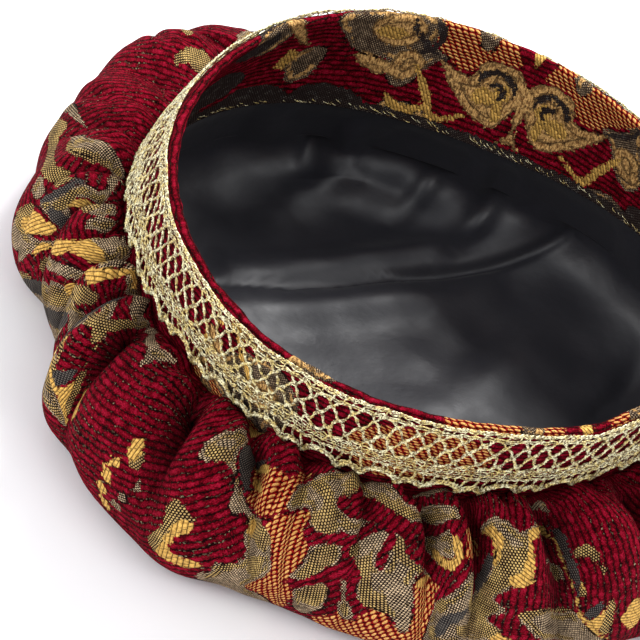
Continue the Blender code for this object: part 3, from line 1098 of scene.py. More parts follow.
@dataclass(frozen=True)
class Grain:
    """Which way the ribs run over the gathered crown: places and directions in mm and degrees.

    Between its rows the direction changes smoothly, and the yarns' spacing is kept as even as
    that allows. Far from every row, the usual direction pulls with its small weight.
    """

    rows: tuple
    usual: float = -55.0
    usual_weight: float = 0.02
    middle: float = -60.0
    reach: float = 11.0
    half_side: float = 240.0
    cells: int = 160

    def directions(self, x: Array, y: Array) -> Array:
        """The ribs' direction in radians at each place.

        Args:
            x: Places along x in mm.
            y: Places along y in mm.

        Returns:
            The direction at each place.
        """
        twice = math.radians(2 * (self.usual - self.middle))
        sine = np.full_like(x, self.usual_weight * math.sin(twice))
        cosine = np.full_like(x, self.usual_weight * math.cos(twice))
        for row_x, row_y, degrees in self.rows:
            weight = np.exp(-((x - row_x) ** 2 + (y - row_y) ** 2) / (2 * self.reach**2))
            twice = math.radians(2 * (degrees - self.middle))
            sine += weight * math.sin(twice)
            cosine += weight * math.cos(twice)
        return math.radians(self.middle) + np.arctan2(sine, cosine) / 2

    def square(self) -> tuple[float, Array, Array]:
        """The cells' spacing, and the x and y of each.

        Returns:
            The spacing in mm, and the x and y of each cell in mm.
        """
        spacing = 2 * self.half_side / self.cells
        line = -self.half_side + spacing * np.arange(self.cells)
        return (spacing, *np.meshgrid(line, line, indexing="ij"))

    def potential(self, gx: Array, gy: Array) -> Array:
        """The field whose slopes come nearest to gx and gy, on the square of cells.

        Args:
            gx: Wanted slopes along x.
            gy: Wanted slopes along y.

        Returns:
            The field's value in each cell.
        """
        spacing, x, y = self.square()
        wave = np.fft.fftfreq(self.cells, spacing) * TAU
        kx, ky = np.meshgrid(wave, wave, indexing="ij")
        square = np.maximum(kx**2 + ky**2, 1e-12)
        spectrum = -1j * (kx * np.fft.fft2(gx - gx.mean()) + ky * np.fft.fft2(gy - gy.mean())) / square
        spectrum[0, 0] = 0
        return np.fft.ifft2(spectrum).real + gx.mean() * x + gy.mean() * y

    def place(self, flat: Array) -> Array:
        """Place along and across the yarns in mm for each place on the flat cloth.

        Args:
            flat: Places by 2, in mm.

        Returns:
            The places along and across, in the same shape.
        """
        spacing, x, y = self.square()
        way = self.directions(x, y)
        along = self.potential(np.cos(way), np.sin(way))
        across = self.potential(-np.sin(way), np.cos(way))
        at = (flat + self.half_side) / spacing
        i, j = np.moveaxis(np.clip(at.astype(int), 0, self.cells - 2), -1, 0)
        s, t = at[..., 0] - i, at[..., 1] - j
        found = []
        for values in (along, across):
            low = values[i, j] * (1 - t) + values[i, j + 1] * t
            high = values[i + 1, j] * (1 - t) + values[i + 1, j + 1] * t
            found.append(low * (1 - s) + high * s)
        return np.stack(found, axis=-1)


@dataclass
class GatheredCrown:
    """The full crown: a disc of brocade gathered on to the band, lying on its flat top.

    The profile runs from the seam to the foot: share of the way, share of the overhang, roll under
    and height in mm. Each gather's row is its valley's azimuth at the seam, the crest and the edge,
    its depth in mm, the share of the way at which it dies out, and the puff after it in mm. Swells
    are the sizes of the fine, broad and small ripples. Cloth that is pushed in deeper than
    painted_shade_from gets painted shade in its folds, darker and darker over about painted_shade_over.
    """

    form: BonnetForm = FORM
    profile: tuple = (
        (0.00, -0.01, 0, 46.6),
        (0.05, 0.035, 0, 49.6),
        (0.10, 0.11, 0, 51.6),
        (0.18, 0.23, 0, 53.0),
        (0.30, 0.44, 0, 52.0),
        (0.42, 0.66, 0, 47.5),
        (0.54, 0.84, 0, 40.0),
        (0.66, 0.95, 0, 30.0),
        (0.78, 1.00, 0, 19.0),
        (0.88, 1.00, 3, 8.5),
        (0.95, 1.00, 9, 2.2),
        (1.00, 1.00, 18, 0.0),
    )
    gathers: tuple = (
        (2, 1, 359, 8, 0.80, 2.5),
        (15, 15, 14, 10, 0.85, 2.0),
        (29, 30, 32, 8, 0.70, 3.0),
        (42, 43, 45, 11, 0.95, 2.0),
        (55, 55, 54, 7, 0.70, 2.5),
        (69, 70, 71, 10, 0.85, 3.0),
        (82, 82, 82, 8, 0.75, 2.0),
        (96, 95, 94, 10, 0.90, 2.5),
        (110, 110, 111, 8, 0.80, 2.0),
        (123, 123, 123, 6, 0.65, 2.0),
        (136, 136, 137, 3, 0.60, 1.5),
        (150, 150, 151, 3, 0.60, 1.5),
        (164, 165, 167, 5, 0.75, 2.0),
        (175, 176, 182, 8, 1.00, 1.5),
        (182, 183, 187, 10, 1.00, 3.0),
        (189, 191, 193, 6, 1.00, 2.5),
        (196, 197, 198, 9, 1.00, 2.5),
        (205, 205, 206, 10, 1.00, 2.0),
        (213, 214, 219, 14, 1.00, 3.0),
        (232, 236, 241, 14, 0.85, 3.0),
        (245, 251, 258, 11, 0.80, 2.0),
        (258, 260, 264, 5, 0.55, 2.5),
        (270, 272, 274, 6, 0.60, 2.5),
        (281, 284, 286, 10, 0.75, 2.0),
        (292, 293, 293, 13, 0.85, 3.0),
        (306, 307, 308, 13, 0.95, 2.0),
        (326, 325, 322, 11, 0.90, 3.0),
        (343, 342, 341, 9, 0.85, 2.0),
    )
    seam_pinch: float = 0.25
    crest_share: float = 0.26
    widest_share: float = 0.78
    puff_end_share: float = 0.80
    steps_per_gather: int = 24
    side_rows: int = 92
    crease_count: int = 74
    base_rows: int = 9
    bunching: float = 0.55
    roundness: float = 1.45
    puff_wave: float = 0.3
    lean: float = 1.8 * MM
    swells: tuple = (0.9 * MM, 1.6 * MM, 0.6 * MM)
    turn_row_share: float = 0.35
    # Depths at which the painted shade in the folds starts and grows.
    painted_shade_from: float = 1.5 * MM
    painted_shade_over: float = 5 * MM
    seed: int = 11

    def valleys(self, share: Array) -> Array:
        """Azimuth of each gather's valley at each share, with the first repeated at the end.

        Args:
            share: The rows' shares of the way from seam to foot.

        Returns:
            The azimuths in radians, rows by gathers and one.
        """
        rows = np.unwrap(np.radians([row[:3] for row in self.gathers]), axis=1)
        stations = (0, self.crest_share, self.widest_share)
        lines = np.array([np.interp(share, stations, row) for row in rows]).T
        lines = np.unwrap(lines, axis=1)
        return np.concatenate([lines, lines[:, :1] + TAU], axis=1)

    def lattice(self, share: Array) -> tuple[Array, Array, Array]:
        """Where the cloth's columns run.

        Args:
            share: The rows' shares of the way from seam to foot.

        Returns:
            Azimuth of each row and column, each column's gather, and its part of that gather.
        """
        count = len(self.gathers)
        k = np.arange(self.steps_per_gather) / self.steps_per_gather
        part = np.tile(k - self.bunching * np.sin(TAU * k) / TAU, count)
        gather = np.repeat(np.arange(count), self.steps_per_gather)
        lines = self.valleys(share)
        azimuth = lines[:, gather] + part * (lines[:, gather + 1] - lines[:, gather])
        azimuth = np.concatenate([azimuth, azimuth[:, :1] + TAU], axis=1)
        return azimuth, np.append(gather, gather[0]), np.append(part, part[0])

    def smooth_line(self, share: Array, azimuth: Array) -> tuple[Array, Array]:
        """Radius and height of the crown without its gathers.

        Args:
            share: Shares of the way, as a column.
            azimuth: Places round the head, in radians.

        Returns:
            The radius and the height in metres.
        """
        stations, outs, rolls, heights = np.array(self.profile).T
        seam = self.form.seam_radius(azimuth)
        overhang = self.form.crown_outline(azimuth) - seam
        radius = seam + overhang * smooth_curve(stations, outs, share)
        radius = radius - smooth_curve(stations, rolls, share) * MM
        return radius, smooth_curve(stations, heights, share) * MM + 0 * azimuth

    def fold_push(self, share: Array, gather: Array, part: Array) -> tuple[Array, Array]:
        """How the gathers move the cloth.

        Args:
            share: The rows' shares of the way, as a column.
            gather: Each column's gather.
            part: Each column's part of its gather.

        Returns:
            The push outwards, and the height of the puff from 0 in the valley to 1.
        """
        rng = np.random.default_rng(self.seed)
        table = np.array([row[3:] for row in self.gathers], float)
        following = (gather + 1) % len(table)
        opening = self.seam_pinch + (1 - self.seam_pinch) * smooth_step(0, self.crest_share, share)

        def depth(which: Array) -> Array:
            """Depth of the valleys at each share."""
            died = smooth_step(self.crest_share, 1, share / table[which, 1])
            return table[which, 0] * MM * opening * (1 - died)

        valley = depth(gather) * (1 - part) + depth(following) * part
        lift = rng.uniform(0.7, 1.35, len(table))
        swing = rng.uniform(0, TAU, len(table))
        wave = 1 + self.puff_wave * np.sin(share * 7 + swing[gather])
        swell = np.sin(math.pi * np.clip(share / self.puff_end_share, 0, 1))
        puff = table[gather, 2] * lift[gather] * MM * swell * wave
        hollow = (1 - np.sin(math.pi * part)) ** self.roundness
        crest = 1 - hollow
        return puff * crest - valley * hollow, crest * np.ones_like(share)

    def creases(self, share: Array, azimuth: Array, radius: Array) -> Array:
        """How small sharp creases that run out from the seam move the cloth outwards, in metres.

        Args:
            share: Shares of the way, as a column.
            azimuth: Places round the head, in radians.
            radius: The crown's radius in metres.

        Returns:
            The move at each place.
        """
        rng = np.random.default_rng(self.seed + 2)
        total = np.zeros_like(azimuth)
        for index in range(self.crease_count):
            start = max(rng.uniform(-0.25, 0.35), 0)
            end = start + rng.uniform(0.18, 0.45)
            middle = (index + rng.uniform(-0.4, 0.4)) * 360 / self.crease_count
            drift = rng.uniform(-14, 14)
            depth, half = rng.uniform(0.9, 2.4) * MM, rng.uniform(1.3, 2.6) * MM
            bearing = angle_from(azimuth, 0) - middle - drift * (share - start)
            away = (np.radians(bearing + 540) % TAU - math.pi) * radius / half
            fade = smooth_step(start - 0.06, start + 0.08, share) * (1 - smooth_step(end - 0.2, end, share))
            lips = 0.5 * np.exp(-((np.abs(away) - 2.4) ** 2) / 1.6)
            total += depth * fade * (lips - np.exp(-(away**2)))
        return total

    def build(
        self, material: bpy.types.Material, figures: Sequence[Figure], grain: Grain
    ) -> bpy.types.Object:
        """The crown as one gathered sheet.

        Args:
            material: The piece's material.
            figures: The figures on its flat cloth.
            grain: Which way its ribs run.

        Returns:
            The crown.
        """
        share = np.linspace(0, 1, self.side_rows)
        azimuth, gather, part = self.lattice(share)
        column = share[:, None]
        radius, height = self.smooth_line(column, azimuth)
        run = np.gradient(radius, axis=0)
        rise = np.gradient(height, axis=0)
        length = np.hypot(run, rise)
        push, crest = self.fold_push(column, gather, part)
        rng = np.random.default_rng(self.seed + 1)
        lean = rng.uniform(-1, 1, len(self.gathers))
        lean = lean[gather] * self.lean * crest * np.sin(math.pi * np.clip(column / 0.9, 0, 1))
        spread = [np.cos(azimuth) * 0.1, np.sin(azimuth) * 0.1, column * 0.06 + 0 * azimuth]
        spread = np.stack(spread, axis=-1)
        near_seam = 1 - smooth_step(0.12, 0.6, column)
        gathers_run = np.stack([(gather + part) * 2.2 + 0 * column, column * 1.5 + 0 * part], axis=-1)
        fine = ripple(gathers_run, 1.0, 21)
        broad = ripple(spread, 38 * MM, 22)
        small = ripple(spread, 14 * MM, 23)
        swells = (fine * near_seam, broad * smooth_step(0.1, 0.4, column), small)
        push = push + sum(size * swell for size, swell in zip(self.swells, swells))
        push = push + self.creases(column, azimuth, radius)
        push = push * smooth_step(-0.02, 0.07, column)
        foot = 1 - smooth_step(0.84, 0.99, column)
        push = push * np.where(column > 0.8, foot, 1)
        radius = radius - push * rise / length
        height = np.maximum(height + push * run / length, 0)
        azimuth = azimuth + lean / radius
        side = np.stack([radius * np.cos(azimuth), radius * np.sin(azimuth), height], axis=-1)
        side[:, -1] = side[:, 0]
        inward = np.linspace(1, 0, self.base_rows)[1:, None]
        foot_x, foot_y = side[-1, :, 0], side[-1, :, 1]
        base = np.stack([foot_x * inward, foot_y * inward, foot_x * inward * 0], axis=-1)
        points = np.concatenate([side, base])

        smooth_radius, smooth_height = self.smooth_line(column, azimuth)
        steps = np.hypot(np.diff(smooth_radius, axis=0), np.diff(smooth_height, axis=0))
        from_foot = np.concatenate([np.cumsum(steps[::-1], axis=0)[::-1], np.zeros((1, steps.shape[1]))])
        foot_radius = smooth_radius[-1]
        reach = np.concatenate([foot_radius + from_foot, foot_radius * inward])
        fold_row = int(self.side_rows * self.turn_row_share)
        around = np.linalg.norm(np.diff(side[fold_row], axis=0), axis=1)
        turn = np.concatenate([[0], np.cumsum(around)])
        turn = azimuth[fold_row, 0] + turn / turn[-1] * TAU
        flat = np.stack([reach * np.cos(turn), reach * np.sin(turn)], axis=-1)

        cloth = grain.place(flat / MM) * MM
        fields = motif_fields(flat / MM, figures)
        # Painted shade: cloth pushed deep into a fold is darkened in the shader, kept in flat's third part.
        hidden = np.maximum(-push - self.painted_shade_from, 0) / self.painted_shade_over
        fields["flat"][:len(share), :, 2] = 1 - np.exp(-hidden)
        fields = {name: values[::-1] for name, values in fields.items()}
        crown = lay_sheet("crown_cloth", points[::-1], cloth[::-1], fields)
        place_piece(crown, material)
        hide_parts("crown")
        return crown


@dataclass
class HeadBand:
    """The stiffened head band: a strip of brocade folded over at the rim."""

    form: BonnetForm = FORM
    columns: int = 620
    face_rows: int = 40
    fold_rows: int = 6
    dark_hem: float = 3.6
    swells: tuple = (0.35 * MM, 0.2 * MM)

    def build(self, material: bpy.types.Material, figures: Sequence[Figure]) -> bpy.types.Object:
        """The band as one folded sheet, open at its foot.

        Args:
            material: The piece's material.
            figures: The figures on its flat cloth.

        Returns:
            The band.
        """
        form = self.form
        azimuth = np.linspace(0, TAU, self.columns + 1)
        half_wall = form.band_wall / 2
        straight = 1 - half_wall / form.band_height
        up = np.linspace(0, straight, self.face_rows)
        bend = np.linspace(0, math.pi, self.fold_rows + 2)[1:-1]
        share = np.concatenate([up, straight + np.sin(bend) * half_wall / form.band_height, up[::-1]])
        inset = np.concatenate([0 * up, half_wall - half_wall * np.cos(bend), 0 * up + form.band_wall])
        points = form.band_face(azimuth[None, :], share[:, None], inset[:, None])
        outward = np.stack([np.cos(azimuth), np.sin(azimuth), 0 * azimuth], axis=-1)
        broad, small = self.swells
        swell = broad * ripple(points, 22 * MM, 31) + small * ripple(points, 7 * MM, 32)
        held = smooth_step(0, 0.1, share)[:, None]
        points = points + outward * (swell * held)[..., None]
        points[:, -1] = points[:, 0]
        section = form.band_face(np.zeros(1), share[:, None], inset[:, None])[:, 0]
        climb = np.concatenate([[0], np.cumsum(np.linalg.norm(np.diff(section, axis=0), axis=1))])
        around = azimuth * (form.seam_mean + form.rim_mean) / 2
        cloth = np.stack([around + 0 * climb[:, None], climb[:, None] + 0 * around], axis=-1)
        fields = motif_fields(cloth / MM, figures)
        hem = self.dark_hem - (climb[-1] - climb)[:, None] / MM
        fields["accent"][..., 1] = np.maximum(fields["accent"][..., 1], hem)
        fields["accent"][..., 2] = np.minimum(fields["accent"][..., 2], -hem)
        band = lay_sheet("band_cloth", points, cloth, fields)
        place_piece(band, material)
        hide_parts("band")
        return band


@dataclass
class SatinLining:
    """The satin lining: a slack bowl sewn in at the head seam.

    The profile runs from the seam to the middle: share of the way, distance out from the seam and
    height in mm. Each fold is a soft ridge or hollow along a line on the bowl's floor: its two ends
    and the sideways bow of its middle in mm, its half width and its height in mm. From the share
    middle_from the cloth runs straight to the middle.
    """

    form: BonnetForm = FORM
    profile: tuple = (
        (0.00, -2.6, 45.6),
        (0.16, 0.9, 36.0),
        (0.34, 2.8, 23.0),
        (0.52, -3.0, 12.5),
        (0.70, -17.0, 7.5),
        (0.85, -37.0, 6.8),
        (1.00, -93.0, 6.8),
    )
    folds: tuple = (
        (-62, 20, 50, 90, -3, 2.2, -3.8),
        (-60, 31, 44, 98, -3, 6.0, 3.2),
        (-60, 8, 26, 62, -3, 7.0, 3.2),
        (-50, 66, -34, 88, 2, 8.0, 4.5),
        (-34, 88, 0, 84, 2, 8.0, 4.5),
        (-34, 88, -44, 116, 2, 7.0, 3.5),
        (-58, 112, -46, 80, 0, 5.0, -4.4),
        (0, 108, -12, 76, 0, 5.0, -3.5),
        (24, 108, 10, 72, 0, 5.0, -3.5),
        (36, 68, 16, 8, 3, 8.0, -2.6),
        (52, 66, 34, 8, 3, 10.0, 1.6),
        (84, 54, 68, 8, 3, 5.0, -2.6),
    )
    columns: int = 420
    rows: int = 150
    middle_from: float = 0.85
    deepest: float = -6 * MM
    highest: float = 8 * MM
    lowest: float = 3.4 * MM
    swells: tuple = (1.5 * MM, 0.35 * MM, 0.9 * MM)

    def fold_lift(self, plan: Array) -> Array:
        """Height of the folds in metres at places on the flat satin in mm.

        Args:
            plan: The places, by 2.

        Returns:
            The height at each place.
        """
        lift = np.zeros(plan.shape[:-1])
        for x0, y0, x1, y1, bow, half, size in self.folds:
            dx, dy = x1 - x0, y1 - y0
            long = math.hypot(dx, dy)
            u = ((plan[..., 0] - x0) * dx + (plan[..., 1] - y0) * dy) / long
            v = (-(plan[..., 0] - x0) * dy + (plan[..., 1] - y0) * dx) / long
            t = np.clip(u / long, 0, 1)
            past = np.maximum(np.maximum(-u, u - long), 0)
            away = np.hypot(v - bow * 4 * t * (1 - t), past) / half
            lift += size * MM * (0.4 + 0.6 * np.sin(math.pi * t)) * np.exp(-(away**2))
        return lift

    def build(self, material: bpy.types.Material) -> bpy.types.Object:
        """The lining as one draped sheet.

        Args:
            material: The piece's material.

        Returns:
            The lining.
        """
        azimuth = np.linspace(0, TAU, self.columns + 1)[None, :]
        share = np.linspace(0, 1, self.rows)[:, None]
        stations, outs, heights = np.array(self.profile).T
        seam = self.form.seam_radius(azimuth)
        out = smooth_curve(stations, outs, share) * MM
        turn = seam + smooth_curve(stations, outs, np.array([self.middle_from])) * MM
        middle = turn * (1 - share) / (1 - self.middle_from)
        radius = np.where(share < self.middle_from, seam + out, middle)
        height = smooth_curve(stations, heights, share) * MM + 0 * azimuth
        run, rise = np.gradient(radius, axis=0), np.gradient(height, axis=0)
        length = np.maximum(np.hypot(run, rise), 1e-9)
        steps = np.hypot(np.diff(radius, axis=0), np.diff(height, axis=0))
        from_middle = np.cumsum(steps[::-1], axis=0)[::-1]
        from_middle = np.concatenate([from_middle, np.zeros((1, steps.shape[1]))])
        way = np.stack([np.cos(azimuth) + 0 * share, np.sin(azimuth) + 0 * share], axis=-1)
        plan = from_middle[..., None] * way / MM
        broad, small, tucks = self.swells
        lift = self.fold_lift(plan) + broad * ripple(plan, 52, 41) + small * ripple(plan, 19, 42)
        around = np.concatenate([way * 5, share[..., None] * 0.5 + 0 * way[..., :1]], axis=-1)
        tuck = ripple(around, 0.9, 43)
        lift = lift + tucks * tuck * (1 - smooth_step(0.1, 0.5, share))
        push = np.clip(lift * smooth_step(0, 0.14, share), self.deepest, self.highest)
        moved = radius + push * rise / length
        moved = np.where(share < 0.3, np.minimum(moved, radius), moved)
        height = np.maximum(height - push * run / length, self.lowest)
        points = np.concatenate([moved[..., None] * way, height[..., None]], axis=-1)
        points[-1] = points[-1].mean(axis=0)
        points[:, -1] = points[:, 0]
        lining = lay_sheet("lining_cloth", points, plan * MM)
        place_piece(lining, material)
        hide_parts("lining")
        return lining


@dataclass
class BobbinLace:
    """The metal-thread lace on the outside of the band, modelled thread by thread.

    Across the lace, 0 is at the points of the scallops and width at the heading. Lengths are in mm
    and azimuths in degrees. The lace hangs lower by drop about the azimuth drop_at. Sways are sizes
    of the ripples that move it up and down, and slides of those that move it along.
    """

    form: BonnetForm = FORM
    repeats: int = 29
    width: float = 36.0
    below_rim: float = -0.2
    thread: float = 0.28
    cord: float = 0.46
    spacing: float = 0.85
    fan_head: float = 10.4
    stripe_head: float = 15.4
    net_head: float = 31.2
    heading_head: float = 35.5
    stripe_rows: int = 4
    stripe_turns: int = 12
    drop: float = 1.7
    drop_at: float = 92.0
    drop_reach: float = 62.0
    mean_radius: float = 92.0
    sways: tuple = (0.5, 0.3, 0.3)
    slides: tuple = (0.35, 0.3)

    @property
    def repeat_width(self) -> float:
        """Width of one repeat in mm."""
        azimuth = np.linspace(0, TAU, 721)[1:]
        return float(self.form.rim_radius(azimuth).mean()) * TAU / self.repeats / MM

    def wander(self, xs: Sequence[float], ys: Sequence[float], radius: float, depth: float = 0.0,
               weave: float = 0.0, pitch: float = 3.2, phase: float = 0.0) -> tuple[Array, Array]:
        """One thread through points of the flat lace.

        Args:
            xs: Places along the lace in mm.
            ys: Places across it in mm.
            radius: The thread's radius in mm.
            depth: How far it stands off the net's middle in mm.
            weave: How far it swings sideways as it plaits, in mm.
            pitch: Length of a swing in mm.
            phase: Where in the swing it starts, in turns.

        Returns:
            The points by 3 in mm, the last being depth, and the radius at each.
        """
        corners = np.stack([xs, ys], axis=1).astype(float)
        legs = np.linalg.norm(np.diff(corners, axis=0), axis=1)
        run = np.concatenate([[0], np.cumsum(legs)])
        count = max(int(round(run[-1] / self.spacing)), 2) + 1
        s = np.linspace(0, run[-1], count)
        x = smooth_curve(run, corners[:, 0], s)
        y = smooth_curve(run, corners[:, 1], s)
        way = np.stack([np.gradient(x), np.gradient(y)], axis=1)
        way /= np.linalg.norm(way, axis=1, keepdims=True)
        swing = np.sin(TAU * (s / pitch + phase)) * weave
        lift = np.cos(TAU * (s / pitch + phase)) * weave * 0.7 + depth
        points = np.stack([x - way[:, 1] * swing, y + way[:, 0] * swing, lift], axis=1)
        return points, np.full(count, radius)

    def plait(self, xs: Sequence[float], ys: Sequence[float], radius: float, weave: float = 0.4,
              pitch: float = 3.4, depth: float = 0.0) -> list[tuple[Array, Array]]:
        """Two threads twisted round each other through points of the flat lace."""
        return [self.wander(xs, ys, radius, depth, weave, pitch, phase) for phase in (0.0, 0.5)]

    def heading(self) -> list[tuple[Array, Array]]:
        """The straight top edge, hung on short ties.

        Returns:
            Each thread's points by 3 in mm, and its radius at each.
        """
        width = self.repeat_width
        top = self.heading_head
        threads = self.plait([0, width], [top, top], self.thread, 0.4, width / 6)
        for y in (self.net_head + 0.5, self.net_head + 1.5, self.net_head + 3.2):
            threads.append(self.wander([0, width], [y, y], self.thread, 0.0, 0.25, width / 5, y))
        for share in (0.1, 0.26, 0.44, 0.6, 0.77, 0.93):
            xs = [share * width, (share + 0.05) * width]
            threads.append(self.wander(xs, [self.net_head, top - 0.1], self.thread, 0.0, 0.3, 2.0, share))
        return threads

    def net(self) -> list[tuple[Array, Array]]:
        """Wavy plaits that touch crest to trough round large round openings.

        Returns:
            Each thread's points by 3 in mm, and its radius at each.
        """
        width = self.repeat_width
        pitch = width / 3
        threads = []
        rows = np.linspace(self.stripe_head + 0.2, self.net_head, 4)
        xs = np.arange(0, 12.1, 0.5) * width / 12
        for index, y in enumerate(rows):
            wave = np.cos(TAU * xs / pitch + math.pi * (index % 2))
            swing = np.sign(wave) * np.abs(wave) ** 0.8
            high = 2.4 if index < 3 else 0.6
            low = 2.4 if index > 0 else 0.2
            ys = y + np.where(swing > 0, swing * high, swing * low)
            threads += self.plait(xs, ys, self.thread, 0.34, width / 9)
            fine = self.thread * 0.8
            threads.append(self.wander(xs, ys + 0.4, fine, -0.15, 0.34, width / 5, index * 0.3))
        return threads

    def stripe(self) -> list[tuple[Array, Array]]:
        """The dense woven stripe: long threads with a shuttling one.

        Returns:
            Each thread's points by 3 in mm, and its radius at each.
        """
        width = self.repeat_width
        threads = []
        rows = np.linspace(self.fan_head + 1.1, self.stripe_head - 0.1, self.stripe_rows)
        long = self.thread * 0.95
        for index, y in enumerate(rows):
            threads.append(self.wander([0, width], [y, y], long, 0.1, 0.22, width / 9, index * 0.5))
        turns = self.stripe_turns
        xs = np.linspace(0, width, turns + 1)
        ys = np.where(np.arange(turns + 1) % 2 == 0, rows[0] - 0.2, rows[-1] + 0.2)
        threads.append(self.wander(xs, ys, self.thread * 0.85, 0.35))
        return threads

    def fan(self) -> list[tuple[Array, Array]]:
        """The fan that fills each scallop, and the plaited edge with its pair of points.

        Returns:
            Each thread's points by 3 in mm, and its radius at each.
        """
        width = self.repeat_width
        edge_x = np.array([0.0, 0.1, 0.22, 0.31, 0.40, 0.50, 0.60, 0.69, 0.78, 0.90, 1.0]) * width
        edge_y = np.array([5.4, 4.8, 2.6, 0.0, 1.6, 3.0, 1.6, 0.0, 2.6, 4.8, 5.4])
        threads = self.plait(edge_x, edge_y, self.cord, 0.5, width / 7, 0.2)
        threads += self.plait(edge_x, edge_y + 1.0, self.thread, 0.35, width / 8)
        threads.append(self.wander(edge_x, edge_y * 0.7 + 2.6, self.thread, 0.1, 0.3, width / 9))
        for share in (0.30, 0.50, 0.70):
            top = 0.5 + (share - 0.5) * 0.62
            ys = [self.fan_head, 2.6 + abs(share - 0.5)]
            threads += self.plait([top * width, share * width], ys, self.thread, 0.28, 3.0)
        for share in (0.03, 0.16, 0.84, 0.97):
            xs = [share * width, share * width + 0.4]
            threads.append(self.wander(xs, [self.fan_head, 5.2], self.thread, 0.1, 0.25, 2.6))
        for y in (self.fan_head - 1.5, self.fan_head - 0.6):
            threads.append(self.wander([0, width], [y, y], self.thread, 0.0, 0.3, width / 7, y))
        return threads

    def strands(self, name: str, threads: list[tuple[Array, Array]]) -> bpy.types.Object:
        """Threads of one repeat as round tubes, repeated and wrapped round the band.

        Args:
            name: The piece's name.
            threads: Each thread's points by 3 in mm, and its radius at each.

        Returns:
            The piece.
        """
        strand = draw_tubes(name, [(points * MM, radii) for points, radii in threads], MM)
        row = strand.modifiers.new("Repeats", "ARRAY")
        row.count = self.repeats
        row.use_relative_offset = False
        row.use_constant_offset = True
        row.constant_offset_displace = (self.repeat_width * MM, 0, 0)
        bpy.ops.object.modifier_apply(modifier=row.name)
        mesh = strand.data
        flat = np.empty(len(mesh.vertices) * 3)
        mesh.vertices.foreach_get("co", flat)
        flat = flat.reshape(-1, 3)
        azimuth = flat[:, 0] / (self.repeat_width * MM * self.repeats) * TAU
        ring = np.stack([np.cos(azimuth), np.sin(azimuth)], axis=1)
        wrapped = np.concatenate([ring * self.mean_radius, flat[:, 1:2] / MM], axis=1)
        long, short, middling = self.sways
        sway = long * ripple(ring * 4, 1.0, 51) + short * ripple(wrapped, 5.0, 52)
        sway = sway + middling * ripple(wrapped, 11.0, 53)
        short, long = self.slides
        slide = short * ripple(wrapped, 5.5, 54) + long * ripple(wrapped, 13.0, 55)
        azimuth = azimuth + slide / self.mean_radius
        drop = self.drop * np.exp(-((angle_from(azimuth, self.drop_at) / self.drop_reach) ** 2))
        foot = self.form.band_height / MM - self.below_rim - self.width - drop
        share = (foot + flat[:, 1] / MM + sway) * MM / self.form.band_height
        off = self.form.sew_gap + (self.cord + 0.35) * MM + flat[:, 2]
        placed = self.form.band_face(azimuth, share, -off)
        mesh.vertices.foreach_set("co", placed.reshape(-1))
        mesh.update()
        bpy.ops.object.shade_smooth()
        return strand

    def build(self, material: bpy.types.Material) -> list[bpy.types.Object]:
        """The lace in two pieces: the net with its heading, and the scalloped fans.

        Args:
            material: The piece's material.

        Returns:
            The net and the fans.
        """
        net = self.strands("lace_net", self.heading() + self.net())
        fans = self.strands("lace_fans", self.stripe() + self.fan())
        for piece in (net, fans):
            place_piece(piece, material)
        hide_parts("lace_trim")
        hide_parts("lace_trim")
        return [net, fans]


@dataclass
class Serging:
    """The overcast edge inside the band: slanting stitches of pale thread over the raw hem."""

    form: BonnetForm = FORM
    pitch: float = 1.1 * MM
    thread: float = 0.13 * MM
    skipped: float = 0.5
    seed: int = 71

    def build(self, material: bpy.types.Material) -> bpy.types.Object:
        """All the stitches in one piece.

        Args:
            material: The piece's material.

        Returns:
            The stitches.
        """
        rng = np.random.default_rng(self.seed)
        count = int(TAU * self.form.seam_mean / self.pitch)
        threads = []
        for index in range(count):
            if rng.uniform() < self.skipped:
                continue
            centre = (index + rng.uniform(-0.2, 0.2)) * TAU / count
            lean = rng.uniform(0.004, 0.014)
            azimuth = centre + lean * np.array([-1, -0.5, 0.5, 1])
            start = rng.uniform(0.008, 0.05)
            share = start + np.array([0, 0.006, 0.014, 0.02]) * rng.uniform(0.6, 1.5)
            inset = self.form.band_wall + np.array([0.05, 0.3, 0.3, 0.02]) * MM
            threads.append((self.form.band_face(azimuth, share, inset), np.ones(4)))
        stitches = draw_tubes("hem_stitches", threads, self.thread)
        bpy.ops.object.shade_smooth()
        return place_piece(stitches, material)


def stand(x: Array, y: Array, z: Array, place: Array) -> Matrix:
    """The matrix of a thing with its axes along x, y and z, at a place."""
    return Matrix([*([x[i], y[i], z[i], place[i]] for i in range(3)), [0, 0, 0, 1]])


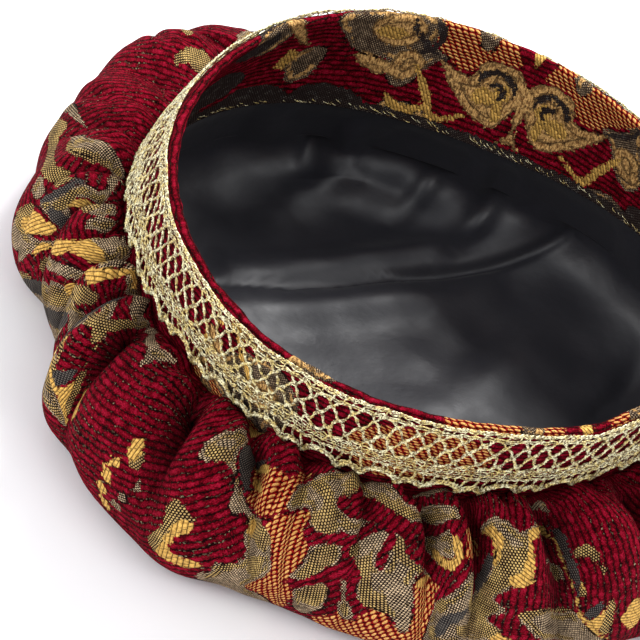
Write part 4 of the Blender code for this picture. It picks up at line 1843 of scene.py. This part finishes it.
@dataclass(frozen=True)
class Studio:
    """The camera, floor and soft light."""

    elevation: float = 44.0
    roll: float = 18.0
    lens: float = 165.94
    distance: float = 0.95
    target: tuple = (-26.5 * MM, -15 * MM, 40 * MM)
    floor_size: float = 6.0
    floor_drop: float = 0.2 * MM
    paper: tuple = (0.93, 0.92, 0.94, 1)
    paper_light: tuple = (0.95, 0.94, 0.96, 1)
    surround: tuple = (0.97, 0.98, 1.0, 1)
    surround_strength: float = 0.82

    def camera(self) -> bpy.types.Object:
        """The camera at the photograph's angle to the bonnet.

        Returns:
            The camera.
        """
        rise, turn = math.radians(self.elevation), math.radians(self.roll)
        forward = np.array([0, math.cos(rise), -math.sin(rise)])
        right = np.array([1.0, 0, 0])
        up = np.cross(right, forward)
        right_turned = math.cos(turn) * right + math.sin(turn) * up
        up_turned = -math.sin(turn) * right + math.cos(turn) * up
        place = np.array(self.target) - forward * self.distance
        clear_selection()
        bpy.ops.object.camera_add()
        camera = bpy.context.object
        camera.data.lens = self.lens
        camera.data.clip_start = 0.05
        camera.matrix_world = stand(right_turned, up_turned, -forward, place)
        bpy.context.scene.camera = camera
        return camera

    def floor(self) -> bpy.types.Object:
        """A plain pale floor.

        Returns:
            The floor.
        """
        clear_selection()
        bpy.ops.mesh.primitive_plane_add(size=self.floor_size, location=(0, 0, -self.floor_drop))
        plane = bpy.context.object
        plane.name = "floor"
        material, graph, shader = new_material("Pale Paper")
        grain = graph.noise(graph.solid_place(), 60.0, 3.0)
        shown = graph.mix(grain, self.paper, self.paper_light)
        graph.feed(shader, {"Base Color": shown, "Roughness": 0.9})
        plane.data.materials.append(material)
        return plane

    def area(self, name: str, azimuth: float, rise: float, far: float, size: float, power: float) -> None:
        """A soft square light that faces the bonnet.

        Args:
            name: The light's name.
            azimuth: Where it stands round the bonnet, in degrees.
            rise: Its angle above the floor, in degrees.
            far: Its distance in metres.
            size: Its side in metres.
            power: Its power in watts.
        """
        a, e = math.radians(azimuth), math.radians(rise)
        away = np.array([math.cos(a) * math.cos(e), math.sin(a) * math.cos(e), math.sin(e)])
        clear_selection()
        bpy.ops.object.light_add(type="AREA", location=tuple(away * far))
        light = bpy.context.object
        light.name = name
        light.data.shape = "SQUARE"
        light.data.size = size
        light.data.energy = power
        x = np.cross([0, 0, 1], away)
        x /= np.linalg.norm(x)
        light.matrix_world = stand(x, np.cross(away, x), away, away * far)

    def light(self) -> None:
        """A white surround, a soft key from behind right, and weaker front left and front right lights."""
        world = bpy.data.worlds.new("Surround")
        world.use_nodes = True
        background = world.node_tree.nodes["Background"]
        background.inputs["Color"].default_value = self.surround
        background.inputs["Strength"].default_value = self.surround_strength
        bpy.context.scene.world = world
        self.area("key", 64, 48, 1.5, 0.7, 30)
        self.area("front", 215, 35, 1.6, 1.0, 11)
        self.area("fill", 318, 52, 1.5, 0.8, 4)
        view = bpy.context.scene.view_settings
        view.view_transform = "Standard"
        view.exposure = 0.0

    def build(self) -> None:
        """All of the studio."""
        self.camera()
        self.floor()
        self.light()


# Outlines on the crown's flat cloth in mm, where x is to the right and y is away from the camera.
CROWN_CHART: dict[Weave, tuple] = {
    Weave.LINKS: (
        ((-30, -115), (-20, -115), (-14, -111), (-10, -107), (-7, -112), (-7, -118), (-6, -124),
         (-9, -129),
         (-8, -133), (-6, -138), (-4, -143), (-8, -146), (-8, -150), (-6, -153), (-9, -153), (-14, -150),
         (-18, -149), (-22, -146), (-23, -142), (-20, -138), (-18, -132), (-19, -126), (-24, -120)),
        ((-41, -143), (-36, -142), (-27, -143), (-21, -148), (-19, -153), (-19, -158), (-26, -158),
         (-32, -158), (-38, -159), (-42, -156), (-42, -151), (-39, -147)),
        ((-22, -148), (-18, -150), (-17, -156), (-14, -161), (-9, -166), (-14, -165), (-19, -160),
         (-20, -154)),
        ((2, -112), (5, -109), (14, -108), (17, -111), (22, -116), (28, -120), (34, -120), (35, -124),
         (37, -129), (40, -134), (41, -138), (45, -139), (40, -141), (38, -143), (32, -144), (29, -143),
         (28, -139), (28, -133), (26, -127), (24, -123), (23, -126), (21, -130), (18, -131), (15, -126),
         (13, -122), (10, -122), (8, -126), (6, -122), (4, -118)),
        ((57, -147), (60, -146), (62, -146), (65, -152), (66, -157), (62, -155), (59, -151)),
        ((75, -141), (78, -142), (81, -149), (79, -150), (76, -146)),
        ((126, -145), (132, -144), (136, -141), (134, -146), (128, -147)),
    ),
    Weave.TWILL: (
        ((-43, -112), (-40, -106), (-28, -104), (-14, -105), (-14, -110), (-20, -114), (-29, -115),
         (-24, -120), (-20, -124), (-18, -129), (-19, -135), (-21, -141), (-26, -142), (-33, -140),
         (-38, -141), (-41, -143), (-46, -147), (-50, -151), (-52, -155), (-50, -160), (-54, -161),
         (-58, -158), (-62, -155), (-63, -151), (-60, -148), (-55, -150), (-51, -149), (-47, -145),
         (-46, -140), (-43, -137), (-39, -139), (-36, -137), (-36, -132), (-33, -127), (-36, -123),
         (-40, -121), (-43, -121), (-42, -116)),
        ((-18, -151), (-14, -151), (-8, -154), (-6, -150), (-1, -150), (4, -152), (9, -152), (14, -155),
         (18, -157), (14, -158), (8, -157), (3, -158), (1, -160), (6, -165), (10, -170), (14, -176),
         (4, -172), (-3, -167), (-9, -164), (-13, -161), (-17, -156)),
        ((-9, -131), (-6, -131), (-3, -131), (-1, -135), (2, -140), (5, -142), (6, -147), (4, -150),
         (-1, -147), (-4, -144), (-5, -139), (-7, -134)),
        ((-6, -124), (-5, -119), (-4, -115), (-1, -113), (1, -117), (3, -122), (4, -126), (4, -133),
         (1, -134), (-3, -130), (-6, -127)),
        ((24, -123), (26, -124), (27, -130), (28, -137), (28, -142), (30, -146), (34, -146), (27, -150),
         (26, -155), (24, -156), (22, -151), (20, -146), (18, -147), (20, -152), (22, -156), (17, -155),
         (12, -151), (9, -149), (10, -146), (13, -145), (14, -141), (13, -136), (15, -131), (19, -131),
         (22, -129)),
        ((7, -126), (10, -122), (13, -124), (12, -128), (10, -131), (9, -137), (7, -137), (8, -131)),
        ((14, -168), (20, -166), (25, -162), (29, -160), (33, -161), (36, -162), (35, -165), (31, -165),
         (27, -168), (25, -173), (22, -175), (15, -175), (11, -170)),
        ((32, -144), (39, -142), (37, -144), (33, -145)),
        ((35, -120), (46, -118), (50, -119), (56, -117), (62, -114), (70, -112), (74, -111), (74, -117),
         (72, -121), (79, -122), (77, -127), (84, -128), (90, -128), (92, -128), (98, -137), (105, -138),
         (106, -140), (98, -140), (93, -146), (90, -149), (84, -149), (87, -141), (80, -135), (72, -133),
         (66, -130), (64, -128), (62, -131), (60, -136), (61, -141), (58, -143), (54, -140), (48, -136),
         (42, -135), (38, -130), (36, -125)),
        ((41, -149), (44, -146), (48, -148), (53, -147), (55, -151), (54, -155), (47, -155), (42, -156),
         (40, -152)),
        ((52, -159), (56, -158), (60, -157), (61, -161), (57, -163), (52, -168), (46, -169), (46, -164),
         (48, -161)),
        ((46, -175), (52, -171), (58, -168), (62, -166), (66, -167), (60, -170), (52, -174)),
        ((81, -109), (86, -102), (90, -96), (96, -90), (100, -84), (103, -81), (103, -90), (103, -98),
         (102, -103), (97, -105), (95, -108), (92, -113), (88, -117), (84, -119), (81, -119), (81, -114)),
        ((106, -110), (109, -114), (111, -118), (109, -122), (104, -123), (106, -118), (107, -114)),
        ((101, -127), (106, -125), (110, -123), (106, -127), (102, -129)),
        ((122, -143), (127, -142), (131, -139), (134, -136), (133, -133), (129, -131), (131, -135),
         (127, -140)),
        ((-195, 30), (-191, 29), (-183, 32), (-177, 34), (-171, 39), (-167, 43), (-165, 47), (-170, 46),
         (-178, 42), (-186, 38), (-193, 34)),
        ((-170, 56), (-165, 59), (-160, 63), (-153, 66), (-150, 68), (-154, 70), (-161, 67), (-166, 62)),
        ((-162, 32), (-157, 29), (-157, 24), (-161, 24)),
        ((-146, 27), (-140, 26), (-136, 21), (-139, 15), (-145, 16)),
        ((-189, 14), (-184, 10), (-179, 4), (-176, -1), (-174, -6), (-171, -4), (-172, 2), (-178, 6),
         (-184, 13)),
        ((-173, 4), (-165, 6), (-158, 9), (-153, 5), (-151, -1), (-157, -2), (-160, 1), (-166, 1),
         (-173, -2)),
        ((-145, 13), (-139, 16), (-136, 14), (-133, 11), (-137, 7), (-140, 2), (-142, -4), (-145, -4),
         (-143, 4), (-145, 8)),
        ((-123, 9), (-118, 8), (-114, 2), (-114, -6), (-123, -6)),
        ((-170, -15), (-164, -14), (-162, -19), (-165, -24), (-170, -20)),
        ((-169, -26), (-163, -23), (-159, -25), (-163, -28), (-168, -29)),
        ((-141, -16), (-138, -16), (-139, -24), (-143, -24)),
        ((-132, -14), (-125, -13), (-123, -26), (-133, -27)),
        ((-164, -39), (-155, -35), (-154, -46), (-160, -49), (-163, -44)),
        ((-143, -31), (-140, -31), (-140, -45), (-144, -45)),
        ((-135, -31), (-125, -28), (-124, -41), (-135, -44)),
        ((-120, -27), (-110, -24), (-110, -34), (-118, -41)),
        ((-167, -39), (-162, -43), (-159, -48), (-158, -54), (-161, -55), (-164, -46)),
        ((-134, -57), (-128, -51), (-121, -47), (-112, -47), (-118, -54), (-126, -58), (-130, -62),
         (-132, -63)),
        ((-130, -60), (-126, -62), (-127, -67), (-131, -70), (-132, -65)),
        ((-152, -66), (-147, -62), (-145, -66), (-149, -69)),
        ((-156, -69), (-151, -69), (-150, -77), (-152, -84), (-157, -86), (-159, -77)),
        ((-118, -84), (-109, -76), (-107, -80), (-113, -86), (-118, -90), (-122, -88)),
        ((-135, -91), (-130, -89), (-129, -96), (-133, -100), (-128, -103), (-136, -103), (-141, -101),
         (-142, -95), (-138, -96), (-136, -99)),
        ((-148, -100), (-144, -105), (-139, -108), (-137, -114), (-139, -120), (-143, -119), (-144, -112),
         (-150, -107)),
        ((-141, -121), (-134, -127), (-128, -129), (-124, -128), (-118, -130), (-113, -133), (-107, -131),
         (-110, -137), (-110, -146), (-114, -137), (-118, -134), (-126, -132), (-135, -130)),
        ((-76, -103), (-73, -106), (-77, -108)),
        ((-77, -109), (-75, -113), (-79, -114)),
        ((-77, -118), (-75, -121), (-78, -123)),
        ((-152, 153), (-133, 155), (-131, 150), (-150, 150)),
    ),
    Weave.DOTS: (
        ((-180, 131), (-176, 136), (-169, 137), (-167, 130), (-170, 124), (-172, 118), (-175, 118),
         (-175, 124), (-178, 127)),
        ((-161, 132), (-155, 132), (-155, 128), (-160, 129)),
        ((-60, -116), (-53, -115), (-53, -121), (-54, -126), (-52, -131), (-51, -133), (-54, -134),
         (-58, -136), (-60, -133), (-58, -125)),
        ((-43, -118), (-38, -118), (-35, -123), (-40, -121)),
        ((-31, -122), (-26, -122), (-22, -126), (-21, -132), (-27, -129), (-31, -126)),
        ((-36, -135), (-33, -133), (-27, -135), (-22, -134), (-20, -139), (-24, -142), (-31, -140),
         (-36, -139)),
        ((-48, -147), (-42, -141), (-45, -146), (-52, -152), (-57, -153), (-62, -152), (-58, -149),
         (-51, -150)),
        ((-17, -152), (-13, -153), (-10, -156), (-11, -159), (-15, -156)),
        ((-7, -153), (-5, -150), (2, -151), (3, -155), (6, -156), (1, -158), (-1, -161), (-4, -163),
         (-10, -163), (-9, -160), (-4, -159), (-3, -156)),
        ((1, -160), (7, -165), (12, -172), (15, -176), (10, -173), (5, -166)),
        ((-5, -132), (-3, -132), (0, -138), (4, -142), (5, -147), (2, -148), (-3, -144), (-4, -138)),
        ((-4, -124), (0, -122), (3, -125), (4, -133), (0, -133), (-3, -129)),
        ((15, -131), (21, -130), (24, -128), (22, -133), (20, -139), (18, -137), (17, -143), (16, -148),
         (12, -145), (14, -141), (14, -135)),
        ((23, -150), (29, -146), (33, -146), (27, -150), (26, -155), (24, -155)),
        ((9, -146), (13, -147), (12, -150), (8, -149)),
        ((14, -168), (19, -166), (22, -163), (26, -161), (31, -161), (29, -164), (24, -166), (18, -168)),
        ((38, -122), (43, -120), (42, -125), (38, -127)),
        ((41, -132), (47, -131), (48, -135), (43, -135)),
        ((50, -122), (58, -119), (66, -115), (73, -112), (74, -116), (71, -121), (78, -123), (76, -127),
         (84, -129), (90, -129), (96, -136), (92, -138), (90, -143), (86, -141), (80, -134), (72, -131),
         (66, -128), (62, -130), (59, -135), (56, -134), (57, -129), (62, -126), (57, -124), (50, -126)),
        ((47, -162), (51, -161), (58, -158), (56, -161), (51, -164), (47, -167)),
        ((81, -118), (86, -117), (91, -113), (94, -108), (97, -105), (101, -103), (100, -105), (96, -108),
         (93, -113), (88, -118), (82, -120)),
        ((105, -84), (109, -88), (113, -92), (117, -98), (120, -104), (124, -110), (125, -114),
         (123, -117),
         (119, -117), (117, -116), (121, -114), (121, -109), (119, -103), (116, -99), (111, -95),
         (106, -93)),
        ((108, -106), (112, -105), (115, -107), (114, -110), (110, -109)),
        ((105, -114), (108, -116), (109, -120), (105, -122)),
        ((-188, 30), (-180, 31), (-174, 35), (-168, 40), (-165, 45), (-169, 42), (-176, 37), (-184, 33)),
        ((-173, 27), (-169, 31), (-166, 36), (-161, 41), (-158, 46), (-158, 52), (-161, 56), (-160, 59),
         (-155, 62), (-150, 65), (-147, 63), (-150, 58), (-152, 50), (-153, 44), (-158, 38), (-162, 32),
         (-166, 25)),
        ((-155, 23), (-150, 27), (-145, 27), (-144, 17), (-149, 19)),
        ((-170, 12), (-166, 12), (-164, 8), (-170, 8)),
        ((-165, 3), (-158, 5), (-155, 2), (-162, 0)),
        ((-167, -15), (-160, -14), (-161, -19), (-165, -18)),
        ((-129, 12), (-126, 12), (-126, 5), (-129, 5)),
        ((-137, -1), (-133, 0), (-132, -4), (-137, -4)),
        ((-130, -15), (-127, -15), (-126, -25), (-130, -25)),
        ((-133, -32), (-128, -30), (-128, -41), (-133, -42)),
        ((-135, -56), (-132, -58), (-133, -62), (-134, -66), (-136, -71), (-139, -72), (-140, -67),
         (-137, -60)),
        ((-113, -80), (-110, -83), (-115, -89), (-122, -95), (-129, -100), (-134, -100), (-134, -96),
         (-128, -94), (-121, -89), (-116, -84)),
        ((-134, -102), (-131, -104), (-136, -111), (-139, -111)),
        ((-84, -122), (-81, -123), (-82, -127), (-86, -129)),
    ),
    Weave.FLOATS: (
        ((-54, -115), (-46, -115), (-45, -119), (-49, -119), (-52, -119), (-53, -124), (-51, -129),
         (-52, -132), (-55, -130), (-55, -124), (-55, -119)),
        ((-36, -134), (-33, -133), (-30, -137), (-32, -139), (-35, -138)),
        ((-41, -150), (-38, -147), (-33, -148), (-30, -150), (-34, -151), (-38, -151)),
        ((-42, -157), (-36, -155), (-29, -156), (-33, -159), (-38, -159)),
        ((-9, -151), (-6, -153), (-8, -153)),
        ((-50, -165), (-46, -168), (-38, -170), (-34, -172), (-44, -173), (-50, -170)),
        ((42, -150), (43, -147), (48, -145), (52, -144), (56, -147), (57, -151), (55, -154), (54, -151),
         (53, -147), (48, -148), (44, -151)),
        ((29, -141), (34, -141), (39, -142), (34, -143), (30, -144)),
        ((70, -112), (75, -111), (74, -115), (71, -114)),
        ((84, -129), (88, -127), (92, -128), (98, -137), (96, -137), (91, -132), (86, -131)),
        ((98, -137), (105, -137), (106, -139), (99, -139)),
        ((83, -135), (87, -138), (90, -141), (89, -146), (84, -149), (86, -142), (82, -137)),
        ((103, -82), (105, -84), (105, -92), (105, -99), (105, -103), (103, -101), (103, -92)),
        ((104, -103), (106, -103), (108, -108), (112, -114), (118, -122), (124, -129), (126, -135),
         (124, -134), (121, -128), (114, -119), (109, -112)),
        ((105, -90), (109, -92), (112, -96), (108, -95), (105, -96)),
        ((111, -106), (113, -106), (113, -109), (111, -109)),
        ((112, -80), (119, -79), (121, -85), (122, -89), (118, -90), (113, -88)),
        ((-151, 21), (-147, 23), (-145, 19), (-147, 17)),
        ((-170, -3), (-163, -2), (-159, 1), (-164, 1), (-169, -1)),
        ((-154, 14), (-146, 14), (-145, 6), (-146, 1), (-150, 0), (-151, 5), (-153, 8)),
        ((-141, 4), (-137, 5), (-140, 0), (-142, -3), (-143, 0)),
        ((-142, -12), (-146, -14), (-149, -19), (-153, -24), (-156, -28), (-151, -28), (-147, -24),
         (-144, -20)),
        ((-155, -33), (-149, -33), (-149, -44), (-153, -47), (-156, -42)),
        ((-137, -40), (-133, -41), (-134, -45), (-138, -45)),
        ((-75, -97), (-72, -98), (-75, -101), (-78, -100)),
        ((-79, -101), (-77, -103), (-81, -106), (-82, -104)),
        ((-83, -108), (-81, -110), (-84, -113), (-86, -111)),
        ((-86, -114), (-84, -115), (-85, -119), (-87, -118)),
        ((-87, -123), (-84, -122), (-84, -126), (-86, -129), (-88, -133), (-89, -127)),
    ),
    Weave.BLACK: (
        ((-41, -144), (-46, -148), (-51, -154), (-50, -159), (-44, -161), (-30, -160), (-42, -158),
         (-43, -152), (-41, -147)),
        ((44, -121), (48, -126), (56, -131), (50, -131), (44, -128), (42, -124)),
        ((68, -130), (72, -131), (80, -135), (84, -140), (80, -139), (74, -136), (69, -134)),
        ((105, -96), (110, -96), (114, -99), (111, -100), (106, -100)),
        ((107, -106), (110, -112), (115, -118), (120, -124), (126, -131), (124, -124), (118, -117),
         (113, -111)),
        ((-171, 8), (-164, 7), (-159, 9), (-157, 8), (-160, 5), (-167, 5), (-171, 6)),
        ((-156, 5), (-152, 3), (-149, -4), (-155, -4)),
        ((-127, 9), (-123, 11), (-121, 3), (-122, -7), (-127, -7)),
        ((-123, -13), (-117, -13), (-116, -26), (-123, -26)),
        ((-125, -28), (-120, -25), (-118, -40), (-125, -42)),
        ((-128, -58), (-124, -53), (-119, -50), (-120, -54), (-126, -59)),
    ),
    Weave.BARS: (
        ((-12, -126), (-9, -127), (-5, -129), (0, -133), (4, -137), (5, -140), (1, -138), (-4, -132),
         (-9, -129)),
        ((18, -145), (20, -145), (21, -150), (24, -154), (22, -155), (19, -150)),
        ((0, -147), (7, -149), (12, -152), (17, -155), (16, -158), (10, -153), (4, -151)),
        ((107, -101), (111, -100), (116, -101), (119, -105), (120, -112), (116, -113), (113, -110),
         (110, -104)),
    ),
}

# Ribs' directions on the crown's flat cloth: x and y in mm, and degrees.
CROWN_GRAIN: tuple = (
    (-165, 125, -70), (-167, 111, -49), (-158, 101, -15), (-174, 94, -52), (-182, 82, -42),
    (-171, 77, -20),
    (-156, 92, 2), (-164, 86, -20), (-187, 66, -40), (-172, 66, -12), (-160, 70, 8), (-184, 50, -56),
    (-168, 50, -60),
    (-174, 34, -62), (-178, 10, -42), (-158, 4, -70), (-150, 8, -90), (-132, 4, -10), (-155, -20, -62),
    (-136, -20, -75), (-152, -40, -90), (-128, -35, -90), (-146, -72, -58), (-122, -58, -55),
    (-138, -100, -62),
    (-122, -92, -60), (-120, -102, -66), (-103, -92, -60), (-92, -88, -60), (-85, -100, -62),
    (-70, -108, -56),
    (-112, -118, -50), (-98, -118, -54), (-100, -132, -50), (-116, -128, -46), (-84, -132, -44),
    (-66, -125, -40),
    (-64, -144, -18), (-72, -157, 2), (-48, -124, -32), (-40, -126, -24), (-42, -133, -10),
    (-52, -140, -48),
    (-55, -147, -55), (-20, -130, -40), (-14, -114, -66), (-13, -125, -52), (-13, -142, -28),
    (-32, -150, -22),
    (-34, -157, 4), (5, -131, -62), (10, -114, -66), (18, -122, -62), (9, -142, -28), (18, -157, -36),
    (12, -162, -32), (32, -126, -14), (32, -136, 0), (32, -150, -16), (38, -133, -34), (45, -142, -14),
    (48, -158, -10), (14, -168, -60), (77, -116, -64), (88, -123, -60), (98, -118, -44), (101, -108, -34),
    (98, -131, -46), (102, -148, -10), (108, -78, -68), (113, -84, -74), (116, -104, -76),
    (122, -97, -58),
    (128, -108, -58), (131, -125, -36),
)

# Outlines on the band's flat cloth in mm, where x is round the head and y climbs over the rim at 45.
BAND_CHART: dict[Weave, tuple] = {
    Weave.LINKS: (
        ((82, 43), (95, 57), (103, 63), (109, 60), (113, 54), (120, 54), (125, 51), (122, 43)),
        ((150, 43), (168, 43), (163, 56), (152, 62), (146, 54)),
    ),
    Weave.TWILL: (
        ((80, 58), (77, 70), (82, 77), (88, 73), (93, 64), (98, 60), (90, 55), (84, 47), (81, 50)),
        ((106, 43), (107, 50), (111, 51), (113, 43)),
        ((166, 44), (164, 54), (168, 62), (178, 66), (190, 64), (197, 55), (199, 45)),
        ((200, 64), (203, 76), (210, 80), (213, 70), (207, 62)),
        ((214, 44), (218, 54), (226, 61), (234, 52), (230, 43)),
        ((88, 84), (96, 86), (98, 90), (86, 90), (80, 86)),
        ((160, 84), (170, 82), (177, 84), (176, 90), (160, 90)),
    ),
    Weave.DOTS: (
        ((94, 60), (99, 68), (106, 76), (114, 81), (120, 81), (124, 75), (127, 67), (127, 60),
         (123, 55), (116, 54),
         (110, 57), (108, 64), (102, 64)),
        ((79, 72), (86, 73), (91, 65), (86, 60), (81, 62)),
        ((168, 50), (172, 58), (180, 60), (186, 56), (187, 49), (180, 45), (172, 45)),
        ((170, 64), (174, 71), (182, 73), (190, 67), (186, 64), (178, 67)),
        ((208, 60), (212, 58), (220, 47), (222, 42), (216, 44)),
        ((125, 59), (131, 59), (130, 72), (129, 80), (134, 88), (128, 84), (122, 88), (127, 80),
         (126, 70)),
    ),
    Weave.FLOATS: (
        ((109, 72), (113, 74), (118, 72), (117, 68), (112, 67)),
        ((117, 65), (121, 63), (123, 67), (121, 71), (122, 76), (119, 79), (118, 74)),
        ((174, 54), (180, 57), (185, 55), (184, 52), (178, 51)),
        ((87, 67), (89, 67), (95, 76), (99, 84), (108, 80), (109, 81), (101, 86), (98, 90), (96, 86),
         (92, 77)),
        ((210, 66), (213, 72), (217, 71), (214, 62)),
        ((126, 43), (128, 51), (130, 43)),
        ((162, 82), (170, 83), (176, 80), (174, 86), (166, 87)),
    ),
    Weave.BLACK: (
        ((111, 67), (110, 62), (114, 58), (120, 58), (124, 62), (124, 67), (122, 63), (118, 60),
         (114, 61), (112, 64)),
        ((115, 66), (116, 63), (120, 64), (121, 68), (118, 71), (119, 67), (117, 65)),
        ((83, 46), (86, 52), (93, 58), (99, 63), (94, 61), (87, 56), (83, 51)),
        ((166, 46), (164, 54), (169, 61), (166, 60), (161, 54), (163, 46)),
        ((224, 47), (232, 50), (243, 48), (240, 56), (230, 58), (223, 54)),
        ((228, 71), (236, 65), (246, 67), (256, 74), (250, 83), (238, 81), (230, 78)),
        ((212, 82), (226, 79), (240, 84), (262, 80), (262, 90), (212, 90)),
        ((184, 84), (197, 80), (206, 83), (206, 90), (184, 90)),
    ),
    Weave.BARS: (
        ((120, 44), (126, 57), (128, 60), (130, 57), (136, 44), (131, 44), (128, 53), (125, 44)),
    ),
}
BAND_MIDDLE = 128.0


def chart_figures(chart: dict[Weave, tuple]) -> list[Figure]:
    """The figures of a chart of outlines."""
    return [Figure(weave, outline) for weave, outlines in chart.items() for outline in outlines]


def crown_figures() -> list[Figure]:
    """The crown's figures: all that is charted, and its front and right again on the hidden sides.

    Returns:
        The figures.
    """
    charted = chart_figures(CROWN_CHART)
    front = [figure for figure in charted if max(abs(x) for x, _ in figure.outline) < 66]
    right = [figure for figure in charted if min(x for x, _ in figure.outline) > 64]
    figures = list(charted)
    for group, degrees in ((front, 96), (front, 178), (right, 66), (right, -100)):
        figures += [figure.turned(degrees) for figure in group]
    return figures


def band_figures() -> list[Figure]:
    """The band's figures.

    Returns:
        A spray mirrored about its middle and repeated round the head, the same again shifted on the
        outer face, and a red area, a linked one and one of twill.
    """
    charted = chart_figures(BAND_CHART)
    middle = [figure for figure in charted if max(x for x, _ in figure.outline) < 135]
    spray = charted + [figure.moved(mirror_at=BAND_MIDDLE) for figure in middle]
    figures = list(spray)
    for shift in (-186.0, 186.0, 372.0):
        figures += [figure.moved(shift) for figure in spray]
    outer = [figure.moved(mirror_at=BAND_MIDDLE, dx=40.0, dy=-46.0) for figure in figures]
    edge = Figure(Weave.BARS, ((236, 49), (290, 50), (350, 49), (400, 50), (400, 41), (378, 40), (369, 20),
                               (364, 2), (330, -3), (290, -3), (250, -3), (236, 10)))
    links = Figure(Weave.LINKS, ((430, 29), (442, 37), (458, 38), (472, 33), (470, 20), (456, 12),
                                 (438, 9), (428, 18)))
    twill = Figure(Weave.TWILL, ((374, 12), (384, 30), (400, 38), (411, 26), (405, 10), (388, 4)))
    return figures + outer + [edge, links, twill]


def main() -> None:
    """Builds the studio and then each piece of the bonnet."""
    logging.basicConfig(level=logging.INFO, format="%(name)s %(message)s")
    Studio().build()
    finish = BrocadeFinish("Gathered Brocade")
    groups = BrocadeGroups(finish)
    GatheredCrown().build(finish.build(groups), crown_figures(), Grain(CROWN_GRAIN))
    band_finish = BrocadeFinish("Folded Brocade", dot_ground=colour(92, 62, 36), stitched=0.85)
    HeadBand().build(band_finish.build(groups), band_figures())
    SatinLining().build(SatinFinish().build())
    gold_thread = MetalThreadFinish().build()
    BobbinLace().build(gold_thread)
    Serging().build(gold_thread)


if __name__ == "__main__":
    main()
